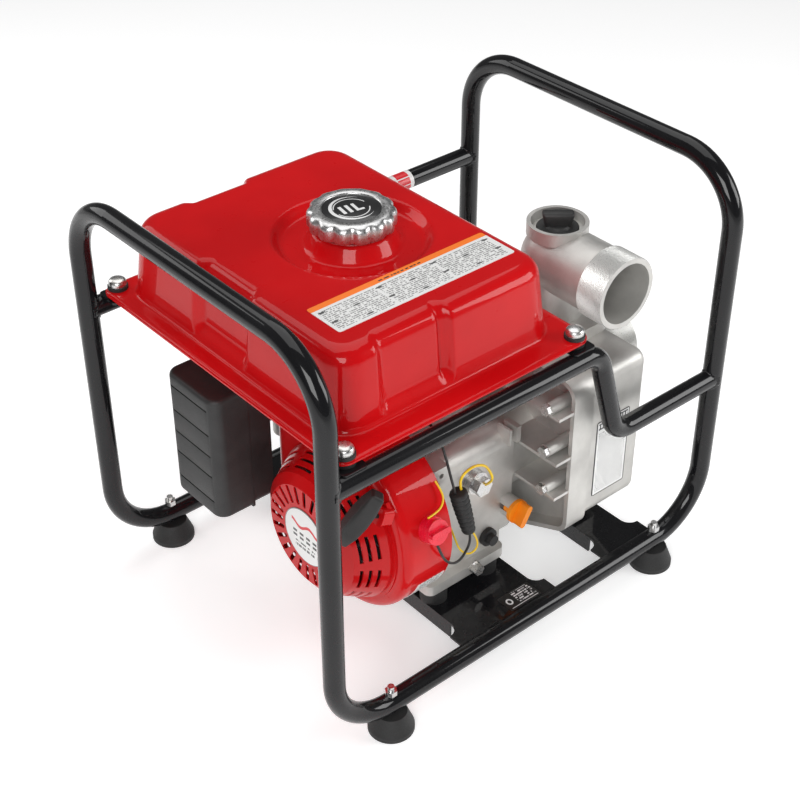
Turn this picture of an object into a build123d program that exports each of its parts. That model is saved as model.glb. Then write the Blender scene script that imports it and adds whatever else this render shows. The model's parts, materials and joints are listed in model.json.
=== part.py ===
from build123d import *
import math
import os

os.makedirs("parts", exist_ok=True)

# Portable fire pump: an air-cooled engine driving a 3-inch centrifugal pump in a tube cage.
# Millimetres. Origin on the ground under the middle of the cage, +Z up,
# +X from the recoil starter towards the pump, -Y towards the operator's side.

# ---- driving sizes: cage -------------------------------------------------
frame_length = 600.0  # between the two hoops, on the tube axes
frame_width = 446.0  # between the two bottom rails, on the tube axes
frame_height = 500.0  # bottom rail axis to top tube axis
tube_d = 25.0
tube_wall = 2.0
bend_r = 80.0
hoop_foot = 100.0  # length of a hoop's bent foot along the rail
rail_z = 40.0  # rail axis above the ground
crossbar_d = 24.0
crossbar_z = 387.0
low_bar_z = 255.0  # lowered run of the front crossbar, beside the pump
bar_drop_x = 85.0  # where the front crossbar starts to drop
bar_drop_run = 40.0
bar_bend_r = 30.0

foot_in = 80.0  # foot centre from the hoop plane
foot_top_r = 19.0
foot_low_r = 27.5
foot_lip = 6.0
bolt_r = 4.0  # M8
nut_af = 13.0
nut_h = 6.5
hole_gap = 0.25  # radial clearance of a bolt in its hole

plate_t = 3.0
plate_lip = 20.0
plate_flare = 15.0
plate_top_z = 50.0
engine_plate_x = -27.0
engine_plate_w = 126.0
pump_plate_x = 177.0
pump_plate_w = 56.0

# ---- driving sizes: fuel tank ---------------------------------------------
tank_length = 294.0  # top face, along X
tank_width = 376.0
tank_x = -103.0
tank_y = 7.0
tank_seam_z = 408.0
tank_height = 94.0  # seam to top face
tank_spread = 10.0  # how much each wall widens down to the seam
tank_corner_r = 36.0
tank_edge_r = 16.0
tank_sheet = 2.0
tank_pan_depth = 43.0
flange_length = 360.0
flange_width = 442.0
flange_x = -103.0
flange_corner_r = 18.0
ear_in_x = 17.0  # tank bolt centre from the flange edge
ear_in_y = 13.0
washer_r = 12.0
washer_t = 4.0
tank_bolt_r = 4.0
tank_bolt_head_r = 8.0
tank_bolt_head_h = 5.5
tank_nut_r = 5.0
tank_nut_h = 3.5
tank_bolt_shank_r = 3.0
bracket_t = 3.0
bracket_w = 32.0
bracket_l = 34.0

filler_x = -82.0
filler_y = 3.0
dish_r = 91.0
dish_depth = 11.0
neck_r = 38.0
neck_rise = 20.0  # dish floor to the neck's lip
cap_r = 50.0
cap_h = 21.0
cap_grips = 14
strainer_depth = 66.0

# ---- driving sizes: engine --------------------------------------------------
crank_y = -73.0
crank_z = 189.0
shaft_r = 12.5
shaft_gap = 0.05  # radial running clearance
base_z = 70.0
base_t = 14.0
base_x0 = -95.0
base_x1 = 30.0
base_y0 = -147.0
base_y1 = 49.0
case_x0 = -100.0
case_x1 = 30.0
case_half = 62.0  # crankcase half width about the crank
case_wall = 8.0
web_r = 46.0
cover_t = 18.0
bore_r = 34.0
cylinder_tilt = 25.0  # degrees above level
cylinder_x = -35.0
barrel_half = 42.0
fin_half = 50.0
fin_t = 2.5
fin_pitch = 8.0
barrel_start = 50.0
head_start = 118.0
head_t = 48.0
valve_cover_t = 30.0
boss_size = 22.0

blower_r = 117.0
blower_x0 = -170.0
blower_x1 = -100.0
blower_edge_r = 14.0
sheet_t = 2.0
recoil_face_x = -220.0
recoil_face_r = 66.0
recoil_rim_r = 98.0
recoil_slots = 24
pulley_r = 55.0
pulley_t = 14.0
fan_r = 88.0
fan_blades = 14

grip_length = 78.0
grip_r = 12.0
rope_r = 2.5
grip_centre = Vector(-215.0, -165.0, 273.0)
grip_axis = Vector(0.43, -0.35, 0.83)
pull_axis = Vector(-0.92, 0.0, 0.39)
rope_length = 28.0

# ---- driving sizes: pump ----------------------------------------------------
pump_half = 130.0
pump_top = 141.0  # above the crank axis
pump_bottom = 119.0  # below the crank axis
keel_side_z = -74.0  # where the straight sides turn in, from the crank axis
keel_half = 27.0
shoulder_r = 22.0
keel_r = 60.0
pump_x0 = 70.0
plate_x0 = 96.0
rim_x1 = 108.0
pump_x1 = 204.0
pump_wall = 6.0
rim_step = 6.0  # the pump case sits this far inside the back plate's rim
hub_r = 62.0
volute_r = 82.0
volute_cavity_r = 68.0
volute_x1 = 165.0
impeller_r = 64.0
impeller_vanes = 5
eye_r = 24.0
port_thread_r = 44.0  # 3-inch hose thread, over the crests
port_bore_r = 38.0
thread_length = 38.0
outlet_x = 166.0
outlet_z = 412.5
outlet_y = -187.0
flange_t = 15.0
prime_top_z = 460.0
prime_rim_r = 37.0
inlet_z = 252.0
inlet_x1 = 280.0
flap_r = 35.0
flap_t = 3.0
plug_gap = 0.3

# ---- places worked out from the sizes ---------------------------------------
half_l = frame_length / 2
half_w = frame_width / 2
top_z = rail_z + frame_height
tube_r = tube_d / 2
rail_top = rail_z + tube_r
nut_seat_z = rail_top + 0.5
foot_x = half_l - foot_in
foot_spots = [(sx * foot_x, sy * half_w) for sx in (-1, 1) for sy in (-1, 1)]
tank_top_z = tank_seam_z + tank_height
dish_z = tank_top_z - dish_depth
neck_top_z = dish_z + neck_rise
cap_z = neck_top_z + 3.0
ear_dx = flange_length / 2 - ear_in_x
ear_dy = flange_width / 2 - ear_in_y
ear_spots = [(flange_x + sx * ear_dx, sy * ear_dy) for sx in (-1, 1) for sy in (-1, 1)]
bracket_z = crossbar_z + crossbar_d / 2 - 1.0
seat_z = tank_seam_z + tank_sheet
tilt = math.radians(cylinder_tilt)
base_top = base_z + base_t
case_top_z = crank_z + case_half
boss_z = crank_z + 59.0
boss_y = crank_y - case_half
pump_floor_z = crank_z - pump_bottom
pump_roof_z = crank_z + pump_top
shell_roof_z = pump_roof_z - rim_step
elbow_z0 = shell_roof_z
elbow_z1 = elbow_z0 + flange_t
inlet_x0 = pump_x1
bearing_r = 26.0
bearing_t = 15.0
cover_x1 = case_x1 + cover_t

crank_axis = Axis((0, crank_y, crank_z), (1, 0, 0))
crank_profile = Plane(origin=(0, crank_y, crank_z), x_dir=(1, 0, 0), z_dir=(0, -1, 0))
barrel_plane = Plane(
    origin=(cylinder_x, crank_y, crank_z),
    x_dir=(1, 0, 0),
    z_dir=(0, math.cos(tilt), math.sin(tilt)),
)
barrel_axis = Axis((0, crank_y, crank_z), barrel_plane.z_dir)


def crank_at(x):
    """Plane across the crank axis at x, with local axes Y and Z."""
    return Plane(origin=(x, crank_y, crank_z), x_dir=(0, 1, 0), z_dir=(1, 0, 0))


def facing_front(x, y, z):
    """Plane at a point, looking out towards -Y."""
    return Plane(origin=(x, y, z), x_dir=(1, 0, 0), z_dir=(0, -1, 0))


def facing_pump(x, y, z):
    """Plane at a point, looking out towards +X, with local axes Y and Z."""
    return Plane(origin=(x, y, z), x_dir=(0, 1, 0), z_dir=(1, 0, 0))


def save(builder, label):
    builder.part.label = label
    export_step(builder.part, f"parts/{label}.step")


# ---- cage -------------------------------------------------------------------
def hoop(side):
    foot = side * (half_l - hoop_foot)
    end = side * half_l
    with BuildPart() as piece:
        with BuildLine() as run:
            FilletPolyline(
                (foot, -half_w, rail_z),
                (end, -half_w, rail_z),
                (end, -half_w, top_z),
                (end, half_w, top_z),
                (end, half_w, rail_z),
                (foot, half_w, rail_z),
                radius=bend_r,
            )
        with BuildSketch(Plane(origin=(foot, -half_w, rail_z), z_dir=(side, 0, 0))):
            Circle(tube_r)
            Circle(tube_r - tube_wall, mode=Mode.SUBTRACT)
        sweep(path=run.line)
        with Locations(*[(side * foot_x, sy * half_w, rail_z) for sy in (-1, 1)]):
            Cylinder(bolt_r + hole_gap, 2 * tube_d, mode=Mode.SUBTRACT)
    return piece


left_hoop = hoop(-1)
save(left_hoop, "left_hoop")
right_hoop = hoop(1)
save(right_hoop, "right_hoop")

rail_reach = half_l - hoop_foot
with BuildPart() as bottom_rails:
    with Locations((0, -half_w, rail_z), (0, half_w, rail_z)):
        Cylinder(tube_r, 2 * rail_reach, rotation=(0, 90, 0))
        Cylinder(tube_r - tube_wall, 2 * rail_reach, rotation=(0, 90, 0), mode=Mode.SUBTRACT)
save(bottom_rails, "bottom_rails")

def tank_bracket(x, y):
    """Tab welded over a crossbar, under one corner of the tank."""
    outward = math.copysign(1.0, y)
    with BuildPart() as tab:
        with BuildSketch(Plane.XY.offset(bracket_z)):
            with Locations((x, outward * (half_w - bracket_l / 2 + 4.0))):
                RectangleRounded(bracket_w, bracket_l, 5.0)
            with Locations((x, y)):
                Circle(tank_bolt_r + hole_gap, mode=Mode.SUBTRACT)
        extrude(amount=bracket_t)
    return tab.part


with BuildPart() as front_crossbar:
    with BuildLine() as run:
        FilletPolyline(
            (-half_l, -half_w, crossbar_z),
            (bar_drop_x, -half_w, crossbar_z),
            (bar_drop_x + bar_drop_run, -half_w, low_bar_z),
            (half_l, -half_w, low_bar_z),
            radius=bar_bend_r,
        )
    with BuildSketch(Plane(origin=(-half_l, -half_w, crossbar_z), z_dir=(1, 0, 0))):
        Circle(crossbar_d / 2)
        Circle(crossbar_d / 2 - tube_wall, mode=Mode.SUBTRACT)
    sweep(path=run.line)
    with Locations((-half_l, -half_w, crossbar_z), (half_l, -half_w, low_bar_z)):
        Cylinder(tube_r, 4 * tube_d, mode=Mode.SUBTRACT)
    for x, y in ear_spots:
        if y < 0:
            add(tank_bracket(x, y))
save(front_crossbar, "front_crossbar")

with BuildPart() as rear_crossbar:
    with Locations((0, half_w, crossbar_z)):
        Cylinder(crossbar_d / 2, frame_length, rotation=(0, 90, 0))
        Cylinder(crossbar_d / 2 - tube_wall, frame_length, rotation=(0, 90, 0), mode=Mode.SUBTRACT)
    with Locations((-half_l, half_w, crossbar_z), (half_l, half_w, crossbar_z)):
        Cylinder(tube_r, 4 * tube_d, mode=Mode.SUBTRACT)
    for x, y in ear_spots:
        if y > 0:
            add(tank_bracket(x, y))
save(rear_crossbar, "rear_crossbar")


def cross_plate(x_mid, width, holes):
    """Channel between the bottom rails, flared where it is welded to them."""
    pad = tube_r + plate_flare
    with BuildPart() as piece:
        with BuildSketch(Plane.XY.offset(plate_top_z - plate_t)) as plan:
            with Locations((x_mid, 0)):
                Rectangle(width, frame_width)
            with Locations((x_mid, half_w - pad / 2), (x_mid, pad / 2 - half_w)):
                Rectangle(width + 2 * plate_flare, pad)
            inner = [v for v in plan.vertices() if abs(abs(v.X - x_mid) - width / 2) < 0.01]
            fillet(inner, plate_flare - 0.1)
            with Locations(*holes):
                Circle(bolt_r + hole_gap, mode=Mode.SUBTRACT)
        extrude(amount=plate_t)
        lip_x = width / 2 - plate_t / 2
        with Locations(*[(x_mid + s * lip_x, 0, plate_top_z - plate_t) for s in (-1, 1)]):
            Box(
                plate_t,
                frame_width - 2 * (pad + plate_flare + 2.0),
                plate_lip,
                align=(Align.CENTER, Align.CENTER, Align.MAX),
            )
        with Locations((x_mid, -half_w, rail_z), (x_mid, half_w, rail_z)):
            Cylinder(tube_r, width + 4 * plate_flare, rotation=(0, 90, 0), mode=Mode.SUBTRACT)
    return piece


mount_x = (base_x0 + 21.5, base_x1 - 21.5)
mount_y = (base_y0 + 17.0, base_y1 - 17.0)
engine_spots = [(x, y) for x in mount_x for y in mount_y]
pump_foot_dy = 50.0
pump_spots = [(pump_plate_x, crank_y + s * pump_foot_dy) for s in (-1, 1)]
pump_foot_z = pump_floor_z - 8.0
mount_r = 17.0

engine_base_plate = cross_plate(engine_plate_x, engine_plate_w, engine_spots)
save(engine_base_plate, "engine_base_plate")
pump_base_plate = cross_plate(pump_plate_x, pump_plate_w, pump_spots)
save(pump_base_plate, "pump_base_plate")

bolt_recess_r = 9.0
bolt_recess_h = 9.0
with BuildPart() as rubber_feet:
    for x, y in foot_spots:
        with BuildSketch(Plane(origin=(x, y, 0), x_dir=(1, 0, 0), z_dir=(0, -1, 0))):
            with BuildLine():
                Polyline(
                    (bolt_r + hole_gap, bolt_recess_h),
                    (bolt_recess_r, bolt_recess_h),
                    (bolt_recess_r, 0),
                    (foot_low_r, 0),
                    (foot_low_r, foot_lip),
                    (foot_top_r, rail_z - tube_r),
                    (bolt_r + hole_gap, rail_z - tube_r),
                    close=True,
                )
            make_face()
        revolve(axis=Axis((x, y, 0), (0, 0, 1)))
save(rubber_feet, "rubber_feet")

with BuildPart() as foot_bolts:
    for x, y in foot_spots:
        with BuildSketch(Plane(origin=(x, y, bolt_recess_h))):
            RegularPolygon(nut_af / 2, 6, major_radius=False)
        extrude(amount=-nut_h)
        with BuildSketch(Plane(origin=(x, y, bolt_recess_h))):
            Circle(bolt_r)
        extrude(amount=nut_seat_z + nut_h + 6.0 - bolt_recess_h)
        with BuildSketch(Plane(origin=(x, y, nut_seat_z))):
            RegularPolygon(nut_af / 2, 6, major_radius=False)
        extrude(amount=nut_h)
save(foot_bolts, "foot_bolts")


# ---- fuel tank --------------------------------------------------------------
def tank_blank(inset):
    """Upper tank body, shrunk by inset on every side but the open seam."""
    with BuildPart() as blank:
        with BuildSketch(Plane(origin=(tank_x, tank_y, tank_seam_z))):
            RectangleRounded(
                tank_length + 2 * tank_spread - 2 * inset,
                tank_width + 2 * tank_spread - 2 * inset,
                tank_corner_r + tank_spread - inset,
            )
        taper = math.degrees(math.atan2(tank_spread, tank_height))
        extrude(amount=tank_height - inset, taper=taper)
        roof = blank.faces().sort_by(Axis.Z)[-1]
        fillet(roof.edges(), tank_edge_r - inset)
        with BuildSketch(Plane(origin=(filler_x, filler_y, dish_z - inset))):
            Circle(dish_r - 14.0 + inset)
        extrude(amount=2 * dish_depth, taper=-50, mode=Mode.SUBTRACT)
    return blank.part


filler_profile = Plane(origin=(filler_x, filler_y, 0), x_dir=(1, 0, 0), z_dir=(0, -1, 0))
filler_axis = Axis((filler_x, filler_y, 0), (0, 0, 1))
upper_outer = tank_blank(0)
upper_inner = tank_blank(tank_sheet)
with BuildPart() as tank_upper_shell:
    with BuildSketch(Plane(origin=(flange_x, 0, tank_seam_z))):
        RectangleRounded(flange_length, flange_width, flange_corner_r)
        with Locations(*[(x - flange_x, y) for x, y in ear_spots]):
            Circle(tank_bolt_r + hole_gap, mode=Mode.SUBTRACT)
    extrude(amount=tank_sheet)
    add(upper_outer)
    add(upper_inner, mode=Mode.SUBTRACT)
    with BuildSketch(filler_profile):
        with BuildLine():
            Polyline(
                (neck_r, dish_z - tank_sheet),
                (neck_r + 20.0, dish_z - tank_sheet),
                (neck_r + 20.0, dish_z),
                (neck_r + 8.0, neck_top_z),
                (neck_r, neck_top_z),
                close=True,
            )
        make_face()
    revolve(axis=filler_axis)
    with Locations((filler_x, filler_y, dish_z)):
        Cylinder(neck_r, 3 * neck_rise, mode=Mode.SUBTRACT)
save(tank_upper_shell, "tank_upper_shell")

pan_floor_z = tank_seam_z - tank_sheet - tank_pan_depth


def pan_blank(inset):
    """Lower tank pan: straight sides, a floor that runs up towards the rear."""
    with BuildPart() as blank:
        with BuildSketch(Plane(origin=(tank_x, tank_y - 4.0, tank_seam_z - tank_sheet))):
            RectangleRounded(tank_length - 4.0 - 2 * inset, tank_width - 8.0 - 2 * inset, 34.0 - inset)
        with BuildSketch(Plane(origin=(tank_x, tank_y - 34.0, pan_floor_z + inset))):
            RectangleRounded(tank_length - 24.0 - 2 * inset, tank_width - 100.0 - 2 * inset, 34.0 - inset)
        loft()
    return blank.part


pan_outer = pan_blank(0)
pan_inner = pan_blank(tank_sheet)
with BuildPart() as tank_lower_shell:
    with BuildSketch(Plane(origin=(flange_x, 0, tank_seam_z - tank_sheet))):
        RectangleRounded(flange_length, flange_width, flange_corner_r)
        with Locations(*[(x - flange_x, y) for x, y in ear_spots]):
            Circle(tank_bolt_r + hole_gap, mode=Mode.SUBTRACT)
    extrude(amount=tank_sheet)
    add(pan_outer)
    with BuildSketch(Plane(origin=(tank_x, tank_y - 4.0, tank_seam_z - tank_sheet))):
        RectangleRounded(
            tank_length - 4.0 - 2 * tank_sheet,
            tank_width - 8.0 - 2 * tank_sheet,
            34.0 - tank_sheet,
        )
    extrude(amount=tank_sheet, mode=Mode.SUBTRACT)
    add(pan_inner, mode=Mode.SUBTRACT)
save(tank_lower_shell, "tank_lower_shell")

grommet_z = bracket_z + bracket_t
with BuildPart() as tank_washers:
    for x, y in ear_spots:
        for z0, z1 in (
            (grommet_z, tank_seam_z - tank_sheet),
            (seat_z, seat_z + washer_t),
        ):
            with BuildSketch(Plane(origin=(x, y, z0))):
                Circle(washer_r)
                Circle(tank_bolt_r + hole_gap, mode=Mode.SUBTRACT)
            extrude(amount=z1 - z0)
save(tank_washers, "tank_washers")

with BuildPart() as tank_bolts:
    for x, y in ear_spots:
        with BuildSketch(Plane(origin=(x, y, seat_z + washer_t))):
            Circle(washer_r - 1.5)
        extrude(amount=1.5)
        with BuildSketch(Plane(origin=(x, y, seat_z + washer_t + 1.5))):
            RegularPolygon(tank_bolt_head_r, 6, major_radius=False)
        extrude(amount=tank_bolt_head_h)
        with BuildSketch(Plane(origin=(x, y, seat_z + washer_t))):
            Circle(tank_bolt_shank_r)
        extrude(amount=-(seat_z + washer_t - bracket_z + tank_nut_h + 0.5))
        with BuildSketch(Plane(origin=(x, y, bracket_z - tank_nut_h))):
            RegularPolygon(tank_nut_r, 6, major_radius=False)
        extrude(amount=tank_nut_h)
save(tank_bolts, "tank_bolts")

with BuildPart() as fuel_strainer:
    with BuildSketch(filler_profile):
        with BuildLine():
            Polyline(
                (0, neck_top_z - strainer_depth),
                (neck_r - 4.0, neck_top_z - strainer_depth),
                (neck_r - 2.0, neck_top_z),
                (neck_r + 5.0, neck_top_z),
                (neck_r + 5.0, neck_top_z + 1.5),
                (neck_r - 3.5, neck_top_z + 1.5),
                (neck_r - 5.5, neck_top_z - strainer_depth + 1.5),
                (0, neck_top_z - strainer_depth + 1.5),
                close=True,
            )
        make_face()
    revolve(axis=filler_axis)
save(fuel_strainer, "fuel_strainer")

with BuildPart() as fuel_cap:
    with BuildSketch(Plane(origin=(filler_x, filler_y, cap_z))):
        Circle(cap_r)
        with PolarLocations(cap_r + 4.0, cap_grips):
            Circle(7.0, mode=Mode.SUBTRACT)
    extrude(amount=cap_h)
    fillet(fuel_cap.faces().sort_by(Axis.Z)[-1].edges(), 2.0)
    with BuildSketch(Plane(origin=(filler_x, filler_y, cap_z))):
        Circle(neck_r - 6.5)
    extrude(amount=-12.0)
save(fuel_cap, "fuel_cap")

# ---- engine block -----------------------------------------------------------
bearing_left_x = case_x0 + 5.0
bearing_right_x = case_x1
with BuildPart() as crankcase:
    with BuildSketch(Plane.XY.offset(base_z)):
        with Locations(((base_x0 + base_x1) / 2, (base_y0 + base_y1) / 2)):
            Rectangle(base_x1 - base_x0, base_y1 - base_y0)
    extrude(amount=base_t)
    fillet(crankcase.edges().filter_by(Axis.Z), 10.0)
    with BuildSketch(crank_at(case_x0)):
        with Locations((0, (case_top_z + base_top - 1.0) / 2 - crank_z)):
            RectangleRounded(2 * case_half, case_top_z - base_top + 1.0, 22.0)
        with Locations((0, (base_top - crank_z) + 15.0)):
            Rectangle(2 * case_half, 32.0)
    extrude(amount=case_x1 - case_x0)
    with BuildSketch(barrel_plane.offset(barrel_start)):
        RectangleRounded(2 * barrel_half, 2 * barrel_half, 10.0)
    extrude(amount=head_start - barrel_start)
    for row in range(6):
        with BuildSketch(barrel_plane.offset(head_start - fin_pitch * (row + 1))):
            RectangleRounded(2 * fin_half, 2 * fin_half, 8.0)
        extrude(amount=fin_t)
    with Locations((case_x0 + boss_size, boss_y, boss_z)):
        Box(boss_size, boss_size, boss_size)
    with BuildSketch(crank_at(case_x0 + bearing_t + 5.0)):
        Circle(web_r + 6.0)
    extrude(amount=case_x1 - case_x0 - bearing_t - 5.0, mode=Mode.SUBTRACT)
    with BuildSketch(crank_at(bearing_left_x)):
        Circle(bearing_r)
    extrude(amount=bearing_t, mode=Mode.SUBTRACT)
    with BuildSketch(crank_at(case_x0)):
        Circle(shaft_r + 2.0)
    extrude(amount=5.0, mode=Mode.SUBTRACT)
    with BuildSketch(barrel_plane.offset(web_r)):
        Circle(bore_r)
    extrude(amount=head_start - web_r, mode=Mode.SUBTRACT)
    with Locations(*[(x, y, base_z) for x, y in engine_spots]):
        Cylinder(bolt_r + hole_gap, 2 * base_t - 3.0, mode=Mode.SUBTRACT)
    with Locations((case_x0 + boss_size, boss_y - boss_size / 2, boss_z)):
        Cylinder(3.3, 24.0, rotation=(90, 0, 0), mode=Mode.SUBTRACT)
save(crankcase, "crankcase")

filler_boss_x = 38.0
filler_boss_z = 140.0
filler_boss_r = 14.0
filler_bore_r = 9.0
with BuildPart() as crankcase_cover:
    with BuildSketch(crank_at(case_x1)):
        with Locations((0, (case_top_z + base_top) / 2 - crank_z + 1.0)):
            RectangleRounded(2 * case_half, case_top_z - base_top - 2.0, 24.0)
        Circle(bearing_r, mode=Mode.SUBTRACT)
    extrude(amount=bearing_t)
    with BuildSketch(crank_at(case_x1 + bearing_t)):
        with Locations((0, (case_top_z + base_top) / 2 - crank_z + 1.0)):
            RectangleRounded(2 * case_half, case_top_z - base_top - 2.0, 24.0)
        Circle(shaft_r + 2.0, mode=Mode.SUBTRACT)
    extrude(amount=cover_t - bearing_t)
    with Locations((cover_x1 - boss_size / 2, boss_y, boss_z)):
        Box(boss_size, boss_size, boss_size)
    with Locations((case_x1 + boss_size / 2 - 4.0, boss_y, boss_z)):
        Box(boss_size - 14.0, boss_size + 2.0, boss_size + 2.0, mode=Mode.SUBTRACT)
    with BuildSketch(facing_front(filler_boss_x, crank_y - case_half + 6.0, filler_boss_z)):
        Circle(filler_boss_r)
    extrude(amount=24.0)
    with BuildSketch(crank_at(case_x1 - 8.0)):
        Rectangle(3 * case_half, 3 * case_half)
    extrude(amount=8.0, mode=Mode.SUBTRACT)
    with BuildSketch(facing_front(filler_boss_x, crank_y - case_half - 18.0, filler_boss_z)):
        Circle(filler_bore_r)
    extrude(amount=-20.0, mode=Mode.SUBTRACT)
    with Locations((cover_x1 - boss_size / 2, boss_y - boss_size / 2, boss_z)):
        Cylinder(3.3, 24.0, rotation=(90, 0, 0), mode=Mode.SUBTRACT)
save(crankcase_cover, "crankcase_cover")

with BuildPart() as main_bearings:
    for x in (bearing_left_x, bearing_right_x):
        with BuildSketch(crank_at(x)):
            Circle(bearing_r)
            Circle(shaft_r + shaft_gap, mode=Mode.SUBTRACT)
        extrude(amount=bearing_t)
save(main_bearings, "main_bearings")

with BuildPart() as cylinder_head:
    with BuildSketch(barrel_plane.offset(head_start)):
        RectangleRounded(2 * barrel_half, 2 * barrel_half, 8.0)
    extrude(amount=head_t)
    for row in range(5):
        with BuildSketch(barrel_plane.offset(head_start + 3.0 + fin_pitch * row)):
            RectangleRounded(2 * fin_half - 4.0, 2 * fin_half, 8.0)
        extrude(amount=fin_t)
    with BuildSketch(barrel_plane.offset(head_start)):
        Circle(bore_r)
    extrude(amount=10.0, mode=Mode.SUBTRACT)
save(cylinder_head, "cylinder_head")

with BuildPart() as valve_cover:
    with BuildSketch(barrel_plane.offset(head_start + head_t)):
        RectangleRounded(76.0, 84.0, 12.0)
    extrude(amount=valve_cover_t)
    outer_face = valve_cover.faces().sort_by(barrel_axis)[-1]
    fillet(outer_face.edges(), 5.0)
save(valve_cover, "valve_cover")

plug_along = head_start + 0.65 * head_t
plug_plane = Plane(
    origin=(
        cylinder_x,
        crank_y + plug_along * math.cos(tilt) - fin_half * math.sin(tilt),
        crank_z + plug_along * math.sin(tilt) + fin_half * math.cos(tilt),
    ),
    x_dir=(1, 0, 0),
    z_dir=(0, -math.sin(tilt), math.cos(tilt)),
)
with BuildPart() as spark_plug:
    with BuildSketch(plug_plane):
        RegularPolygon(10.5, 6, major_radius=False)
    extrude(amount=7.0)
    with BuildSketch(plug_plane.offset(7.0)):
        Circle(6.5)
    extrude(amount=14.0)
    with BuildSketch(plug_plane.offset(21.0)):
        Circle(11.0)
    extrude(amount=20.0)
save(spark_plug, "spark_plug")

# ---- rotating train ---------------------------------------------------------
shaft_x0 = -180.0
shaft_x1 = 150.0
taper_r = 10.0
drive_r = 11.0
web_t = 14.0
web_gap = 26.0
with BuildPart() as crankshaft:
    for x0, x1, radius in (
        (shaft_x0, case_x0 + 3.0, taper_r),
        (case_x0 + 3.0, cylinder_x - web_gap / 2, shaft_r),
        (cylinder_x + web_gap / 2, cover_x1 - 1.0, shaft_r),
        (cover_x1 - 1.0, shaft_x1, drive_r),
    ):
        with BuildSketch(crank_at(x0)):
            Circle(radius)
        extrude(amount=x1 - x0)
    for x0 in (cylinder_x - web_gap / 2 - web_t, cylinder_x + web_gap / 2):
        with BuildSketch(crank_at(x0)):
            Circle(web_r)
        extrude(amount=web_t)
    with BuildSketch(crank_at(cylinder_x - web_gap / 2)):
        with Locations((0, 27.0)):
            Circle(14.0)
    extrude(amount=web_gap)
save(crankshaft, "crankshaft")

fan_back_x = -142.0
fan_disc_t = 8.0
fan_hub_r = 40.0
fan_hub_t = 5.0
blade_in = fan_hub_r - 3.0
blade_out = fan_r - 4.0
blade_t = 3.0
blade_deep = 17.0
rotor_r = 66.0
rotor_deep = 22.0
with BuildPart() as flywheel_fan:
    with BuildSketch(crank_at(fan_back_x - fan_disc_t)):
        Circle(fan_r)
    extrude(amount=fan_disc_t)
    with BuildSketch(crank_at(fan_back_x)):
        Circle(rotor_r)
    extrude(amount=rotor_deep)
    with BuildSketch(crank_at(fan_back_x - fan_disc_t - blade_deep)):
        Circle(fan_hub_r)
        with PolarLocations((blade_in + blade_out) / 2, fan_blades):
            Rectangle(blade_out - blade_in, blade_t)
        Circle(fan_hub_r - fan_hub_t, mode=Mode.SUBTRACT)
    extrude(amount=blade_deep)
    with BuildSketch(crank_at(fan_back_x - fan_disc_t - blade_deep)):
        Circle(16.0)
    extrude(amount=blade_deep)
    with BuildSketch(crank_at(fan_back_x - fan_disc_t - blade_deep - 1.0)):
        Circle(taper_r)
    extrude(amount=60.0, mode=Mode.SUBTRACT)
save(flywheel_fan, "flywheel_fan")


# ---- fan housing and recoil starter -----------------------------------------
throttle_x = -140.0
throttle_y = 8.0
duct_y = 48.0
duct_top_z = 316.0


def tangent_angle(y, z, radius, side):
    """Angle round the crank where a line through (y, z) touches a circle."""
    return math.degrees(math.atan2(z, y) + side * math.acos(radius / math.hypot(y, z)))


def blower_blank(inset):
    """Round fan housing with the duct that leads the air over the cylinder."""
    depth = blower_x1 - blower_x0
    round_r = blower_r - inset
    duct_side = duct_y - crank_y - inset
    duct_roof = duct_top_z - crank_z - inset
    duct_low = -30.0
    corner = 14.0
    start = tangent_angle(duct_side - corner, duct_roof, round_r, 1)
    stop = 360.0 + tangent_angle(duct_side, duct_low, round_r, -1)
    with BuildPart() as blank:
        with BuildSketch(crank_at(blower_x0 + inset)):
            with BuildLine():
                arc = CenterArc((0, 0), round_r, start, stop - start)
                Polyline(
                    arc @ 1,
                    (duct_side, duct_low),
                    (duct_side, duct_roof - corner),
                    (duct_side - corner, duct_roof),
                    arc @ 0,
                )
            make_face()
        extrude(amount=depth - inset)
        if inset == 0:
            rim = blank.faces().sort_by(Axis.X)[0].edges()
            fillet(rim, blower_edge_r)
        else:
            rim = blank.faces().sort_by(Axis.X)[0].edges()
            fillet(rim, blower_edge_r - inset)
    return blank.part


blower_outer = blower_blank(0)
blower_inner = blower_blank(sheet_t)
intake_r = 84.0
switch_tilt = math.radians(17.0)
switch_x = -130.0
switch_plane = Plane(
    origin=(switch_x, crank_y, crank_z),
    x_dir=(1, 0, 0),
    z_dir=(0, -math.cos(switch_tilt), math.sin(switch_tilt)),
)
with BuildPart() as blower_housing:
    add(blower_outer)
    add(blower_inner, mode=Mode.SUBTRACT)
    with BuildSketch(crank_at(blower_x0)):
        Circle(intake_r)
    extrude(amount=2 * sheet_t, mode=Mode.SUBTRACT)
    with BuildSketch(crank_at(blower_x1 - sheet_t)):
        with Locations((110.0, 10.0)):
            Rectangle(16.0, 60.0)
    extrude(amount=sheet_t, mode=Mode.SUBTRACT)
    with BuildSketch(Plane(origin=(throttle_x, throttle_y, duct_top_z - 4.0))):
        Circle(8.0)
    extrude(amount=4.7)
save(blower_housing, "blower_housing")

cover_lip_x = blower_x0 - 2.0
post_x1 = -190.0
post_r = 8.0


def cover_profile(inset):
    """Outline of the recoil cover's bowl as (x, radius) points, inset by the sheet."""
    return [
        (recoil_face_x + inset, 0),
        (recoil_face_x + inset, recoil_face_r),
        (recoil_face_x + 8.0 + inset * 0.6, recoil_face_r + 12.0 - inset * 0.6),
        (cover_lip_x - 4.0, recoil_rim_r - inset),
        (cover_lip_x, recoil_rim_r - inset),
    ]


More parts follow.
